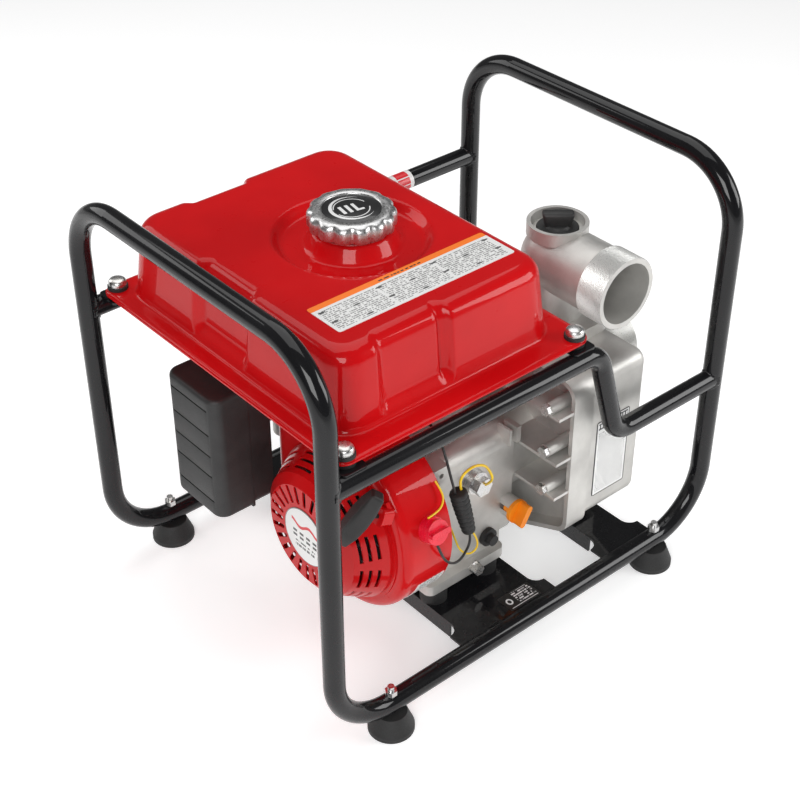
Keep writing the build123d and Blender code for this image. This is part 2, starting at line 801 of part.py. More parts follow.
pull_dir = pull_axis.normalized()
rope_start = grip_centre - pull_dir * rope_length
guide_plane = Plane(origin=rope_start, z_dir=pull_dir)
guide_angle = math.degrees(math.atan2(rope_start.Z - crank_z, rope_start.Y - crank_y))
guide_r = math.hypot(rope_start.Y - crank_y, rope_start.Z - crank_z)
guide_root_r = recoil_rim_r - 1.0
with BuildPart() as recoil_cover:
    with BuildSketch(crank_profile):
        with BuildLine():
            Polyline(*cover_profile(0), *reversed(cover_profile(sheet_t)), close=True)
        make_face()
    revolve(axis=crank_axis)
    with BuildSketch(crank_at(cover_lip_x)):
        Circle(recoil_rim_r + 5.0)
        Circle(intake_r + 1.0, mode=Mode.SUBTRACT)
    extrude(amount=2.0)
    with BuildSketch(crank_at(recoil_face_x + sheet_t)):
        Circle(post_r)
    extrude(amount=post_x1 - recoil_face_x - sheet_t)
    with BuildSketch(crank_at(recoil_face_x - 1.0)):
        with PolarLocations(54.0, recoil_slots):
            SlotOverall(23.0, 5.5)
    extrude(amount=2 * sheet_t, mode=Mode.SUBTRACT)
    for slot_row in range(3):
        with Locations(crank_at(recoil_face_x + 16.0 + 9.0 * slot_row)):
            with PolarLocations(recoil_rim_r - 8.0, 12, start_angle=15.0):
                Box(26.0, 32.0, 4.0, mode=Mode.SUBTRACT)
    with BuildSketch(guide_plane):
        RectangleRounded(20.0, 20.0, 5.0)
    extrude(amount=-16.0)
    with Locations(facing_pump(cover_lip_x - 2.5, crank_y, crank_z)):
        with PolarLocations((guide_root_r + guide_r) / 2 + 3.0, 1, start_angle=guide_angle):
            Box(guide_r - guide_root_r + 6.0, 16.0, 5.0)
    with BuildSketch(guide_plane):
        Circle(rope_r + 0.5)
    extrude(amount=-12.0, mode=Mode.SUBTRACT)
save(recoil_cover, "recoil_cover")

pulley_x = recoil_face_x + 8.0
with BuildPart() as recoil_pulley:
    with BuildSketch(crank_at(pulley_x)):
        Circle(pulley_r)
        Circle(post_r + shaft_gap, mode=Mode.SUBTRACT)
    extrude(amount=pulley_t)
    with BuildSketch(crank_at(pulley_x + 4.0)):
        Circle(pulley_r + 1.0)
        Circle(pulley_r - 14.0, mode=Mode.SUBTRACT)
    extrude(amount=pulley_t - 8.0, mode=Mode.SUBTRACT)
    with BuildSketch(crank_at(pulley_x + pulley_t)):
        with PolarLocations(24.0, 2):
            Circle(5.0)
    extrude(amount=7.0)
save(recoil_pulley, "recoil_pulley")

with BuildPart() as pull_handle:
    with BuildSketch(Plane(origin=grip_centre - grip_axis.normalized() * (grip_length / 2), z_dir=grip_axis)):
        Circle(grip_r - 2.0)
    with BuildSketch(Plane(origin=grip_centre, z_dir=grip_axis)):
        Circle(grip_r)
    with BuildSketch(Plane(origin=grip_centre + grip_axis.normalized() * (grip_length / 2), z_dir=grip_axis)):
        Circle(grip_r - 2.0)
    loft()
save(pull_handle, "pull_handle")

with BuildPart() as pull_rope:
    with BuildSketch(Plane(origin=rope_start - pull_dir * 10.0, z_dir=pull_dir)):
        Circle(rope_r)
    extrude(amount=rope_length + 10.0)
    add(pull_handle.part, mode=Mode.SUBTRACT)
save(pull_rope, "pull_rope")

# ---- stop switch, sensor and plugs ------------------------------------------
switch_body_r = 16.0
switch_seat = blower_r + 8.0
knob_r = 15.0
with BuildPart() as stop_switch_body:
    with BuildSketch(switch_plane.offset(blower_r - 8.0)):
        Circle(switch_body_r)
    extrude(amount=switch_seat - blower_r + 8.0)
    add(blower_outer, mode=Mode.SUBTRACT)
save(stop_switch_body, "stop_switch_body")

with BuildPart() as stop_switch_knob:
    with BuildSketch(switch_plane.offset(switch_seat + plug_gap)):
        Circle(knob_r)
    extrude(amount=7.0)
    with BuildSketch(switch_plane.offset(switch_seat + plug_gap + 7.0)):
        SlotOverall(2 * knob_r - 2.0, 7.0)
    extrude(amount=6.0)
save(stop_switch_knob, "stop_switch_knob")

filler_cap_plane = facing_front(filler_boss_x, crank_y - case_half - 18.0, filler_boss_z)
with BuildPart() as oil_filler_cap:
    with BuildSketch(filler_cap_plane.offset(plug_gap)):
        Circle(15.5)
    extrude(amount=5.0)
    with BuildSketch(filler_cap_plane.offset(plug_gap + 5.0)):
        SlotOverall(30.0, 9.0, rotation=60.0)
    extrude(amount=14.0)
    with BuildSketch(filler_cap_plane.offset(plug_gap)):
        Circle(filler_bore_r - plug_gap)
    extrude(amount=-12.0)
save(oil_filler_cap, "oil_filler_cap")

with BuildPart() as oil_drain_bolt:
    with BuildSketch(facing_front(-23.0, base_y0, base_z + base_t / 2 + 3.0)):
        Circle(8.5)
    extrude(amount=2.0)
    with BuildSketch(facing_front(-23.0, base_y0 - 2.0, base_z + base_t / 2 + 3.0)):
        RegularPolygon(6.5, 6, major_radius=False)
    extrude(amount=9.0)
save(oil_drain_bolt, "oil_drain_bolt")

case_front_y = crank_y - case_half
with BuildPart() as oil_plug:
    with BuildSketch(facing_front(8.0, case_front_y, base_top + 20.0)):
        Circle(12.0)
    extrude(amount=6.0)
    with BuildSketch(facing_front(8.0, case_front_y - 6.0, base_top + 20.0)):
        Circle(7.0)
    extrude(amount=8.0)
save(oil_plug, "oil_plug")

sensor_x = -18.0
sensor_z = 205.0
sensor_face_y = case_front_y - 21.0
with BuildPart() as oil_level_switch:
    with BuildSketch(facing_front(sensor_x, case_front_y, sensor_z)):
        Circle(15.0)
    extrude(amount=10.0)
    with BuildSketch(facing_front(sensor_x, case_front_y - 10.0, sensor_z)):
        RegularPolygon(11.0, 6, major_radius=False)
    extrude(amount=11.0)
save(oil_level_switch, "oil_level_switch")

# ---- wiring -----------------------------------------------------------------
wire_r = 1.6


def arc_radii(points):
    """Largest tangent arc at each corner: 0.45 of the shorter run over tan(half the turn)."""
    radii = []
    for before, here, after in zip(points, points[1:], points[2:]):
        run_in = here - before
        run_out = after - here
        half_turn = math.radians(run_in.get_angle(run_out)) / 2
        radii.append(0.45 * min(run_in.length, run_out.length) / math.tan(half_turn))
    return radii


def wire(label, points):
    radii = arc_radii(points)
    print(label, "corner radii", [round(r, 1) for r in radii])
    start = points[0]
    with BuildPart() as piece:
        with BuildLine() as run:
            FilletPolyline(*points, radius=radii)
        with BuildSketch(Plane(origin=start, z_dir=points[1] - start)):
            Circle(wire_r)
        sweep(path=run.line)
    print(label, "length", round(sum(edge.length for edge in run.line.edges()), 1))
    save(piece, label)
    return piece


boot_top = Vector(-76.0, -172.0, 240.0)
boot_low = Vector(-57.0, -172.0, 172.0)
boot_r = 11.0
boot_ribs = 9
boot_dir = (boot_low - boot_top).normalized()
boot_length = (boot_low - boot_top).length
with BuildPart() as wire_boot:
    with BuildSketch(Plane(origin=boot_top, z_dir=boot_dir)):
        Circle(boot_r - 2.0)
    extrude(amount=boot_length)
    rib_pitch = boot_length / boot_ribs
    for rib in range(boot_ribs):
        centre = boot_top + boot_dir * (rib_pitch * (rib + 0.5))
        with BuildSketch(Plane(origin=centre - boot_dir * (rib_pitch * 0.3), z_dir=boot_dir)):
            Circle(boot_r)
        extrude(amount=rib_pitch * 0.6)
save(wire_boot, "wire_boot")

boot_side = Vector(-boot_dir.Z, 0, boot_dir.X)
switch_exit = (2.0, -switch_body_r - 0.2, switch_seat - 4.0)
below_switch = (4.0, -switch_body_r - 17.0, switch_seat - 2.0)
sensor_start = boot_top + boot_side * 5.0
lead_start = boot_top - boot_side * 4.0
switch_wire = wire(
    "switch_wire",
    [
        switch_plane.from_local_coords(switch_exit),
        switch_plane.from_local_coords(below_switch),
        Vector(-112.0, -195.0, 170.0),
        Vector(-92.0, -188.0, 152.0),
        Vector(-70.0, -178.0, 144.0),
        boot_low + boot_dir * 17.0,
        boot_low,
    ],
)
sensor_wire = wire(
    "sensor_wire",
    [
        sensor_start,
        sensor_start - boot_dir * 17.0,
        Vector(-58.0, -173.5, 268.0),
        Vector(-39.0, -174.0, 262.0),
        Vector(-27.0, -172.0, 246.0),
        Vector(-20.0, -172.5, 227.0),
        Vector(-18.0, sensor_face_y - 1.0, 211.0),
    ],
)
engine_lead = wire(
    "engine_lead",
    [
        lead_start,
        lead_start - boot_dir * 20.0,
        Vector(-86.0, -163.0, 284.0),
        Vector(-82.0, -148.0, 302.0),
        Vector(-78.0, -125.0, 312.0),
        Vector(-76.0, -101.0, 308.0),
        Vector(-75.0, -82.0, 294.0),
        Vector(-75.0, -70.0, 274.0),
        Vector(-75.0, -66.0, case_top_z + 0.4),
    ],
)

# ---- intake, exhaust and controls -------------------------------------------
cleaner_x0 = -268.0
cleaner_x1 = -218.0
cleaner_y0 = 27.0
cleaner_y1 = 122.0
cleaner_z0 = 172.0
cleaner_z1 = 342.0
cleaner_wall = 2.5
cleaner_mid = (cleaner_y0 + cleaner_y1) / 2
cleaner_w = cleaner_y1 - cleaner_y0
cleaner_h = cleaner_z1 - cleaner_z0
backing_t = 28.0
cleaner_edge_r = 10.0
cleaner_corner_r = 12.0
filter_t = 36.0


def cleaner_section(x):
    """Plane across the air cleaner at x, centred on its face."""
    middle = (x, cleaner_mid, (cleaner_z0 + cleaner_z1) / 2)
    return Plane(origin=middle, x_dir=(0, 1, 0), z_dir=(1, 0, 0))


def cleaner_blank(inset):
    """Air cleaner cover as a solid, shrunk by inset."""
    with BuildPart() as blank:
        with BuildSketch(cleaner_section(cleaner_x0 + inset)):
            RectangleRounded(cleaner_w - 2 * inset, cleaner_h - 2 * inset, cleaner_corner_r - inset)
        extrude(amount=cleaner_x1 - cleaner_x0 - inset)
        fillet(blank.faces().sort_by(Axis.X)[0].edges(), cleaner_edge_r - inset)
    return blank.part


with BuildPart() as air_cleaner_cover:
    add(cleaner_blank(0))
    add(cleaner_blank(cleaner_wall), mode=Mode.SUBTRACT)
save(air_cleaner_cover, "air_cleaner_cover")

intake_y = 76.0
intake_z = 262.0
with BuildPart() as air_cleaner_base:
    with BuildSketch(cleaner_section(cleaner_x1)):
        RectangleRounded(cleaner_w, cleaner_h, cleaner_corner_r)
        with Locations((intake_y - cleaner_mid, intake_z - (cleaner_z0 + cleaner_z1) / 2)):
            Circle(14.0, mode=Mode.SUBTRACT)
    extrude(amount=backing_t)
save(air_cleaner_base, "air_cleaner_base")

with BuildPart() as air_filter:
    with BuildSketch(cleaner_section(cleaner_x1 - filter_t)):
        RectangleRounded(cleaner_w - 16.0, cleaner_h - 20.0, 8.0)
    extrude(amount=filter_t)
save(air_filter, "air_filter")

port_flange_x = -108.0
with BuildPart() as carburettor:
    with BuildSketch(facing_pump(cleaner_x1 + backing_t, intake_y, intake_z)):
        Circle(17.0)
        Circle(14.0, mode=Mode.SUBTRACT)
    extrude(amount=34.0)
    with Locations((cleaner_x1 + backing_t + 34.0 + 24.0, intake_y, intake_z)):
        Box(48.0, 36.0, 36.0)
    with BuildSketch(Plane(origin=(-132.0, intake_y, intake_z - 18.0))):
        Circle(17.0)
    extrude(amount=-28.0)
    with BuildSketch(Plane(origin=(-132.0, intake_y, intake_z - 46.0))):
        Circle(6.0)
    extrude(amount=-6.0)
    with BuildSketch(facing_pump(port_flange_x, intake_y, intake_z)):
        Circle(16.0)
    extrude(amount=cylinder_x - barrel_half - port_flange_x)
    add(cylinder_head.part, mode=Mode.SUBTRACT)
save(carburettor, "carburettor")

lever_y = intake_y + 18.0


def side_lever(x, z, length, angle):
    """Flat lever on a pivot boss, on the service side of the carburettor."""
    plane = Plane(origin=(x, lever_y + plug_gap, z), x_dir=(1, 0, 0), z_dir=(0, 1, 0))
    turn = math.radians(angle)
    with BuildPart() as piece:
        with BuildSketch(plane):
            Circle(6.0)
            with Locations(Location((length / 2 * math.cos(turn), length / 2 * math.sin(turn)), angle)):
                SlotOverall(length + 8.0, 8.0)
        extrude(amount=3.0)
        tip = (length * math.cos(turn), length * math.sin(turn))
        with BuildSketch(plane.offset(3.0)):
            with Locations(tip):
                Circle(4.0)
        extrude(amount=7.0)
    return piece


choke_pivot_x = -154.0
choke_pivot_z = intake_z + 4.0
fuel_pivot_x = -128.0
fuel_pivot_z = intake_z - 36.0
choke_lever = side_lever(choke_pivot_x, choke_pivot_z, 28.0, 110.0)
save(choke_lever, "choke_lever")
fuel_valve_lever = side_lever(fuel_pivot_x, fuel_pivot_z, 22.0, 90.0)
save(fuel_valve_lever, "fuel_valve_lever")

throttle_z = duct_top_z
throttle_length = 62.0
with BuildPart() as throttle_lever:
    with BuildSketch(Plane(origin=(throttle_x, throttle_y, throttle_z + 1.0))):
        Circle(9.0)
        with Locations((0, -throttle_length / 2)):
            SlotOverall(throttle_length + 10.0, 10.0, rotation=90.0)
    extrude(amount=3.0)
    with BuildSketch(Plane(origin=(throttle_x, throttle_y - throttle_length, throttle_z + 4.0))):
        Circle(5.0)
    extrude(amount=12.0)
save(throttle_lever, "throttle_lever")

muffler_x0 = 22.0
muffler_x1 = 108.0
muffler_y0 = 62.0
muffler_y1 = 188.0
muffler_z0 = 205.0
muffler_z1 = 330.0
muffler_mid = ((muffler_x0 + muffler_x1) / 2, (muffler_y0 + muffler_y1) / 2, (muffler_z0 + muffler_z1) / 2)
exhaust_y = 73.0
exhaust_z = 254.0
with BuildPart() as muffler:
    with Locations(muffler_mid):
        Box(muffler_x1 - muffler_x0, muffler_y1 - muffler_y0, muffler_z1 - muffler_z0)
    fillet(muffler.edges(), 12.0)
    with BuildSketch(facing_pump(cylinder_x + barrel_half, exhaust_y, exhaust_z)):
        Circle(10.0)
    extrude(amount=muffler_x0 - cylinder_x - barrel_half + 6.0)
    with BuildSketch(Plane(origin=(muffler_mid[0], muffler_y1, muffler_z0 + 30.0), x_dir=(1, 0, 0), z_dir=(0, 1, 0))):
        Circle(11.0)
        Circle(9.0, mode=Mode.SUBTRACT)
    extrude(amount=18.0)
    add(cylinder_head.part, mode=Mode.SUBTRACT)
save(muffler, "muffler")

guard_t = 1.5
guard_in = 24.0
with BuildPart() as muffler_guard:
    with BuildSketch(Plane(origin=(muffler_mid[0], muffler_y0 + guard_in, muffler_mid[2]), x_dir=(1, 0, 0), z_dir=(0, -1, 0))):
        RectangleRounded(muffler_x1 - muffler_x0 + 16.0, muffler_z1 - muffler_z0 + 16.0, 14.0)
        RectangleRounded(
            muffler_x1 - muffler_x0 + 16.0 - 2 * guard_t,
            muffler_z1 - muffler_z0 + 16.0 - 2 * guard_t,
            14.0 - guard_t,
            mode=Mode.SUBTRACT,
        )
    extrude(amount=-(muffler_y1 - muffler_y0 - 2 * guard_in))
    slot_count = 7
    slot_pitch = (muffler_y1 - muffler_y0 - 2 * guard_in - 8.0) / slot_count
    for slot in range(slot_count):
        slot_y = muffler_y0 + guard_in + 4.0 + slot_pitch * (slot + 0.5)
        with Locations((muffler_x1 + 8.0, slot_y, muffler_mid[2])):
            Box(6.0, slot_pitch * 0.5, 84.0, mode=Mode.SUBTRACT)
        with Locations((muffler_mid[0], slot_y, muffler_z1 + 8.0)):
            Box(54.0, slot_pitch * 0.5, 6.0, mode=Mode.SUBTRACT)
    stay_x = (muffler_x0 + muffler_x1) / 2
    with Locations((stay_x, muffler_y0 + 30.0, muffler_z1 + 3.5), (stay_x, muffler_y1 - 30.0, muffler_z1 + 3.5)):
        Cylinder(5.0, 7.0)
save(muffler_guard, "muffler_guard")

# ---- engine and pump mounts --------------------------------------------------
with BuildPart() as rubber_mounts:
    for spots, z1 in ((engine_spots, base_z), (pump_spots, pump_foot_z)):
        for x, y in spots:
            with BuildSketch(Plane(origin=(x, y, plate_top_z))):
                Circle(mount_r)
                Circle(bolt_r + hole_gap, mode=Mode.SUBTRACT)
            extrude(amount=z1 - plate_top_z)
save(rubber_mounts, "rubber_mounts")

with BuildPart() as mount_bolts:
    for spots, z1 in ((engine_spots, base_top - 2.0), (pump_spots, pump_foot_z + 10.0)):
        for x, y in spots:
            with BuildSketch(Plane(origin=(x, y, plate_top_z - plate_t))):
                RegularPolygon(nut_af / 2, 6, major_radius=False)
            extrude(amount=-nut_h)
            with BuildSketch(Plane(origin=(x, y, plate_top_z - plate_t))):
                Circle(bolt_r)
            extrude(amount=z1 - plate_top_z + plate_t)
save(mount_bolts, "mount_bolts")


# ---- pump -------------------------------------------------------------------
def pump_outline(inset):
    """Square-shouldered outline with a keel-shaped bottom, on the crank axis."""
    with BuildSketch() as outline:
        with BuildLine():
            FilletPolyline(
                (-pump_half, pump_top),
                (-pump_half, keel_side_z),
                (-keel_half, -pump_bottom),
                (keel_half, -pump_bottom),
                (pump_half, keel_side_z),
                (pump_half, pump_top),
                radius=[shoulder_r, shoulder_r, keel_r, keel_r, shoulder_r, shoulder_r],
                close=True,
            )
        make_face()
        if inset:
            offset(amount=-inset, mode=Mode.REPLACE)
    return outline.sketch


case_bolt_dy = pump_half - 20.0
case_bolt_z = (185.0, 241.0, 301.0)
case_bolt_spots = [(s * case_bolt_dy, z - crank_z) for s in (-1, 1) for z in case_bolt_z]
case_bolt_x0 = 52.0
boss_r = 8.0
rib_z = (178.0, 229.0, 294.0)
rib_t = 4.0
seal_bore_r = 16.0
with BuildPart() as pump_back_plate:
    with BuildSketch(crank_at(plate_x0)):
        add(pump_outline(0))
    extrude(amount=rim_x1 - plate_x0)
    with BuildSketch(crank_at(pump_x0 + 6.0)):
        add(pump_outline(0))
    extrude(amount=plate_x0 - pump_x0 - 6.0)
    with BuildSketch(crank_at(pump_x0 + 6.0)):
        add(pump_outline(pump_wall))
    extrude(amount=plate_x0 - pump_x0 - 6.0, mode=Mode.SUBTRACT)
    with BuildSketch(crank_at(cover_x1)):
        Circle(hub_r)
    extrude(amount=plate_x0 - cover_x1)
    for z in rib_z:
        with Locations(((case_bolt_x0 + plate_x0) / 2, crank_y, z)):
            Box(plate_x0 - case_bolt_x0, 2 * pump_half - 2.0, rib_t)
    with BuildSketch(crank_at(case_bolt_x0)):
        with Locations(*case_bolt_spots):
            Circle(boss_r)
    extrude(amount=plate_x0 - case_bolt_x0)
    with BuildSketch(crank_at(cover_x1)):
        Circle(hub_r - 12.0)
    extrude(amount=plate_x0 - cover_x1 - 6.0, mode=Mode.SUBTRACT)
    with BuildSketch(crank_at(cover_x1)):
        Circle(seal_bore_r)
    extrude(amount=rim_x1 - cover_x1, mode=Mode.SUBTRACT)
    with BuildSketch(crank_at(case_bolt_x0)):
        with Locations(*case_bolt_spots):
            Circle(bolt_r + hole_gap)
    extrude(amount=rim_x1 - case_bolt_x0, mode=Mode.SUBTRACT)
save(pump_back_plate, "pump_back_plate")

drain_z = 108.0
drain_bore_r = 8.0
foot_block_l = 2 * pump_foot_dy + 40.0
with BuildPart() as pump_case:
    with BuildSketch(crank_at(rim_x1)):
        add(pump_outline(rim_step))
    extrude(amount=pump_x1 - rim_x1)
    front_face = pump_case.faces().sort_by(Axis.X)[-1]
    fillet(front_face.edges(), 10.0)
    with BuildSketch(crank_at(pump_x1)):
        with Locations((0, drain_z - crank_z)):
            Circle(15.0)
    extrude(amount=4.0)
    with BuildSketch(Plane(origin=(pump_plate_x, crank_y, pump_foot_z))):
        RectangleRounded(46.0, foot_block_l, 6.0)
    extrude(amount=34.0)
    with BuildSketch(crank_at(rim_x1)):
        add(pump_outline(rim_step + pump_wall))
    extrude(amount=pump_x1 - rim_x1 - pump_wall, mode=Mode.SUBTRACT)
    for dy, dz in case_bolt_spots:
        with BuildSketch(crank_at(rim_x1)):
            with Locations((dy, dz)):
                Circle(boss_r + 1.0)
        extrude(amount=26.0)
    with BuildSketch(crank_at(rim_x1)):
        with Locations(*case_bolt_spots):
            Circle(bolt_r + hole_gap)
    extrude(amount=18.0, mode=Mode.SUBTRACT)
    with BuildSketch(Plane(origin=(outlet_x, crank_y, shell_roof_z - 2 * pump_wall))):
        Circle(32.0)
    extrude(amount=4 * pump_wall, mode=Mode.SUBTRACT)
    with BuildSketch(facing_pump(pump_x1 - 2 * pump_wall, crank_y, inlet_z)):
        Circle(port_bore_r)
    extrude(amount=4 * pump_wall, mode=Mode.SUBTRACT)
    with BuildSketch(crank_at(pump_x1 - 2 * pump_wall)):
        with Locations((0, drain_z - crank_z)):
            Circle(drain_bore_r)
    extrude(amount=4 * pump_wall, mode=Mode.SUBTRACT)
    with Locations(*[(x, y, pump_foot_z + 5.0) for x, y in pump_spots]):
        Cylinder(bolt_r + hole_gap, 12.0, mode=Mode.SUBTRACT)
save(pump_case, "pump_case")

with BuildPart() as case_bolts:
    for dy, dz in case_bolt_spots:
        spot = (case_bolt_x0, crank_y + dy, crank_z + dz)
        head = Plane(origin=spot, x_dir=(0, 1, 0), z_dir=(-1, 0, 0))
        with BuildSketch(head):
            RegularPolygon(6.5, 6, major_radius=False)
        extrude(amount=6.0)
        with BuildSketch(head):
            Circle(bolt_r)
        extrude(amount=case_bolt_x0 - rim_x1 - 15.0)
save(case_bolts, "case_bolts")

volute_x0 = rim_x1
cavity_x0 = volute_x0 + 14.0
cavity_x1 = volute_x1 - 6.0
with BuildPart() as volute:
    with BuildSketch(crank_at(volute_x0)):
        Circle(volute_r)
        with Locations((volute_cavity_r - 8.0, 40.0)):
            Rectangle(40.0, 80.0)
    extrude(amount=volute_x1 - volute_x0)
    with BuildSketch(crank_at(cavity_x0)):
        Circle(volute_cavity_r)
        with Locations((volute_cavity_r - 10.0, 45.0)):
            Rectangle(24.0, 90.0)
    extrude(amount=cavity_x1 - cavity_x0, mode=Mode.SUBTRACT)
    with BuildSketch(crank_at(volute_x0)):
        Circle(eye_r)
    extrude(amount=volute_x1 - volute_x0, mode=Mode.SUBTRACT)
save(volute, "volute")

hub_x0 = cavity_x0 + 1.0
with BuildPart() as impeller:
    with BuildSketch(crank_at(hub_x0)):
        Circle(impeller_r)
    extrude(amount=5.0)
    with BuildSketch(crank_at(hub_x0 + 5.0)):
        Circle(17.0)
        for vane in range(impeller_vanes):
            with Locations(Location((0, 0), 360.0 / impeller_vanes * vane)):
                with Locations((impeller_r * 0.56, -9.0)):
                    Rectangle(impeller_r * 0.72, 4.0, rotation=-24.0)
    extrude(amount=cavity_x1 - hub_x0 - 7.0)
    with BuildSketch(crank_at(hub_x0)):
        Circle(drive_r)
    extrude(amount=shaft_x1 - hub_x0, mode=Mode.SUBTRACT)
save(impeller, "impeller")

with BuildPart() as mechanical_seal:
    with BuildSketch(crank_at(rim_x1 + 1.0)):
        Circle(eye_r - 4.0)
        Circle(drive_r, mode=Mode.SUBTRACT)
    extrude(amount=hub_x0 - rim_x1 - 1.0)
save(mechanical_seal, "mechanical_seal")

neck_pipe_r = 38.0
body_pipe_r = 42.0
pipe_bore_r = 32.0
prime_bore_r = 20.0
cup_depth = 12.0
cup_r = 32.0
outlet_pivot = (outlet_x, crank_y, outlet_z)
with BuildPart() as discharge_elbow:
    with BuildSketch(Plane(origin=(outlet_x - 6.0, crank_y, elbow_z0))):
        RectangleRounded(88.0, 122.0, 14.0)
    extrude(amount=flange_t)
    with BuildSketch(Plane(origin=(outlet_x, crank_y, elbow_z0))):
        Circle(neck_pipe_r)
    extrude(amount=outlet_z - elbow_z0)
    with Locations(outlet_pivot):
        Sphere(body_pipe_r)
    with BuildSketch(facing_front(outlet_x, crank_y, outlet_z)):
        Circle(body_pipe_r)
    extrude(amount=crank_y - outlet_y - thread_length)
    with BuildSketch(facing_front(outlet_x, outlet_y + thread_length, outlet_z)):
        Circle(port_thread_r)
    extrude(amount=thread_length)
    with BuildSketch(Plane(origin=(outlet_x, crank_y, outlet_z))):
        Circle(prime_rim_r - 5.0)
    extrude(amount=prime_top_z - outlet_z - cup_depth)
    with BuildSketch(Plane(origin=(outlet_x, crank_y, prime_top_z - cup_depth - 4.0))):
        Circle(prime_rim_r)
    extrude(amount=cup_depth + 4.0)
    with BuildSketch(facing_front(outlet_x, crank_y, outlet_z)):
        Circle(pipe_bore_r)
    extrude(amount=crank_y - outlet_y, mode=Mode.SUBTRACT)
    with Locations(outlet_pivot):
        Sphere(body_pipe_r - 6.0, mode=Mode.SUBTRACT)
    with BuildSketch(facing_front(outlet_x, outlet_y, outlet_z)):
        Circle(port_bore_r)
    extrude(amount=-2 * thread_length, mode=Mode.SUBTRACT)
    with BuildSketch(Plane(origin=(outlet_x, crank_y, elbow_z0))):
        Circle(pipe_bore_r)
    extrude(amount=outlet_z - elbow_z0, mode=Mode.SUBTRACT)
    with BuildSketch(Plane(origin=(outlet_x, crank_y, prime_top_z - cup_depth))):
        Circle(cup_r)
    extrude(amount=cup_depth, mode=Mode.SUBTRACT)
    with BuildSketch(Plane(origin=(outlet_x, crank_y, outlet_z + 20.0))):
        Circle(prime_bore_r)
    extrude(amount=prime_top_z - outlet_z, mode=Mode.SUBTRACT)
save(discharge_elbow, "discharge_elbow")

cup_floor_z = prime_top_z - cup_depth
with BuildPart() as priming_cap:
    with BuildSketch(Plane(origin=(outlet_x, crank_y, cup_floor_z + plug_gap))):
        Circle(prime_bore_r + 5.0)
    extrude(amount=4.0)
    with BuildSketch(Plane(origin=(outlet_x, crank_y, cup_floor_z + plug_gap))):
        Circle(prime_bore_r - plug_gap)
    extrude(amount=-8.0)
    with BuildSketch(Plane(origin=(outlet_x, crank_y, cup_floor_z + plug_gap + 4.0))):
        SlotOverall(38.0, 12.0, rotation=35.0)
    extrude(amount=20.0)
save(priming_cap, "priming_cap")

pivot_r = 2.0
lug_w = 22.0
pin_length = 38.0
flap_x = inlet_x0 + 8.0
flap_pivot_z = inlet_z + flap_r
with BuildPart() as suction_port:
    with BuildSketch(facing_pump(inlet_x0, crank_y, inlet_z)):
        RectangleRounded(112.0, 112.0, 16.0)
    extrude(amount=12.0)
    with BuildSketch(facing_pump(inlet_x0 + 12.0, crank_y, inlet_z)):
        Circle(port_thread_r)
    extrude(amount=inlet_x1 - inlet_x0 - 12.0)
    with BuildSketch(facing_pump(inlet_x0, crank_y, inlet_z)):
        Circle(port_bore_r)
    extrude(amount=inlet_x1 - inlet_x0, mode=Mode.SUBTRACT)
    with BuildSketch(facing_pump(inlet_x0, crank_y, inlet_z)):
        with Locations((0, flap_r)):
            Rectangle(lug_w + 2.0, 10.0)
    extrude(amount=12.0, mode=Mode.SUBTRACT)
    with Locations((flap_x - flap_t / 2, crank_y, flap_pivot_z)):
        Cylinder(pivot_r + shaft_gap, pin_length + 1.0, rotation=(90, 0, 0), mode=Mode.SUBTRACT)
save(suction_port, "suction_port")

with BuildPart() as check_valve:
    with BuildSketch(facing_pump(flap_x, crank_y, inlet_z)):
        Circle(flap_r)
        with Locations((0, flap_r - 4.0)):
            Rectangle(lug_w, 10.0)
    extrude(amount=-flap_t)
    with Locations((flap_x - flap_t / 2, crank_y, flap_pivot_z)):
        Cylinder(pivot_r, pin_length, rotation=(90, 0, 0))
save(check_valve, "check_valve")

with BuildPart() as pump_drain_plug:
    with BuildSketch(facing_pump(pump_x1 + 4.0 + plug_gap, crank_y, drain_z)):
        RegularPolygon(11.0, 6, major_radius=False)
    extrude(amount=9.0)
    shank = (pump_x1 + 4.0 + plug_gap, crank_y, drain_z)
    with BuildSketch(Plane(origin=shank, x_dir=(0, 1, 0), z_dir=(-1, 0, 0))):
        Circle(drain_bore_r - plug_gap)
    extrude(amount=9.0)
save(pump_drain_plug, "pump_drain_plug")
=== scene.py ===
import json
import math
import bmesh
import bpy
from mathutils import Matrix, Vector


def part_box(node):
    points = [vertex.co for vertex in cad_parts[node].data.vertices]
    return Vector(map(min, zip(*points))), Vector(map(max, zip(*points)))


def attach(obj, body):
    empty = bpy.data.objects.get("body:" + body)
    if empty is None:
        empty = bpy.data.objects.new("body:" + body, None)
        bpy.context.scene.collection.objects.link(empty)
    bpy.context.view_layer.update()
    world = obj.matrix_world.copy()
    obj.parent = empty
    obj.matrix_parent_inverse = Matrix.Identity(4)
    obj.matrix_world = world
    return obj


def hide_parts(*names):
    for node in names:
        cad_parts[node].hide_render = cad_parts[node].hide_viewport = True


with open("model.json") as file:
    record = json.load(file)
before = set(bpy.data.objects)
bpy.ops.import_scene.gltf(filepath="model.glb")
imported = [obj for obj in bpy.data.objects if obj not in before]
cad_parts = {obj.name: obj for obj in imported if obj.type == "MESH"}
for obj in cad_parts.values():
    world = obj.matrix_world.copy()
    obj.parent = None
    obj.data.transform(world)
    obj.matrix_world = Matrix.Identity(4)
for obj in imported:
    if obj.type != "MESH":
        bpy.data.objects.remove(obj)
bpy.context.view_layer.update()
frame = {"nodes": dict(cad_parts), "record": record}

nodes = frame["nodes"]
bpy.ops.object.select_all(action="DESELECT")


def corner(node, low):
    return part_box(node)[0 if low else 1]


def middle(node):
    return (corner(node, True) + corner(node, False)) / 2


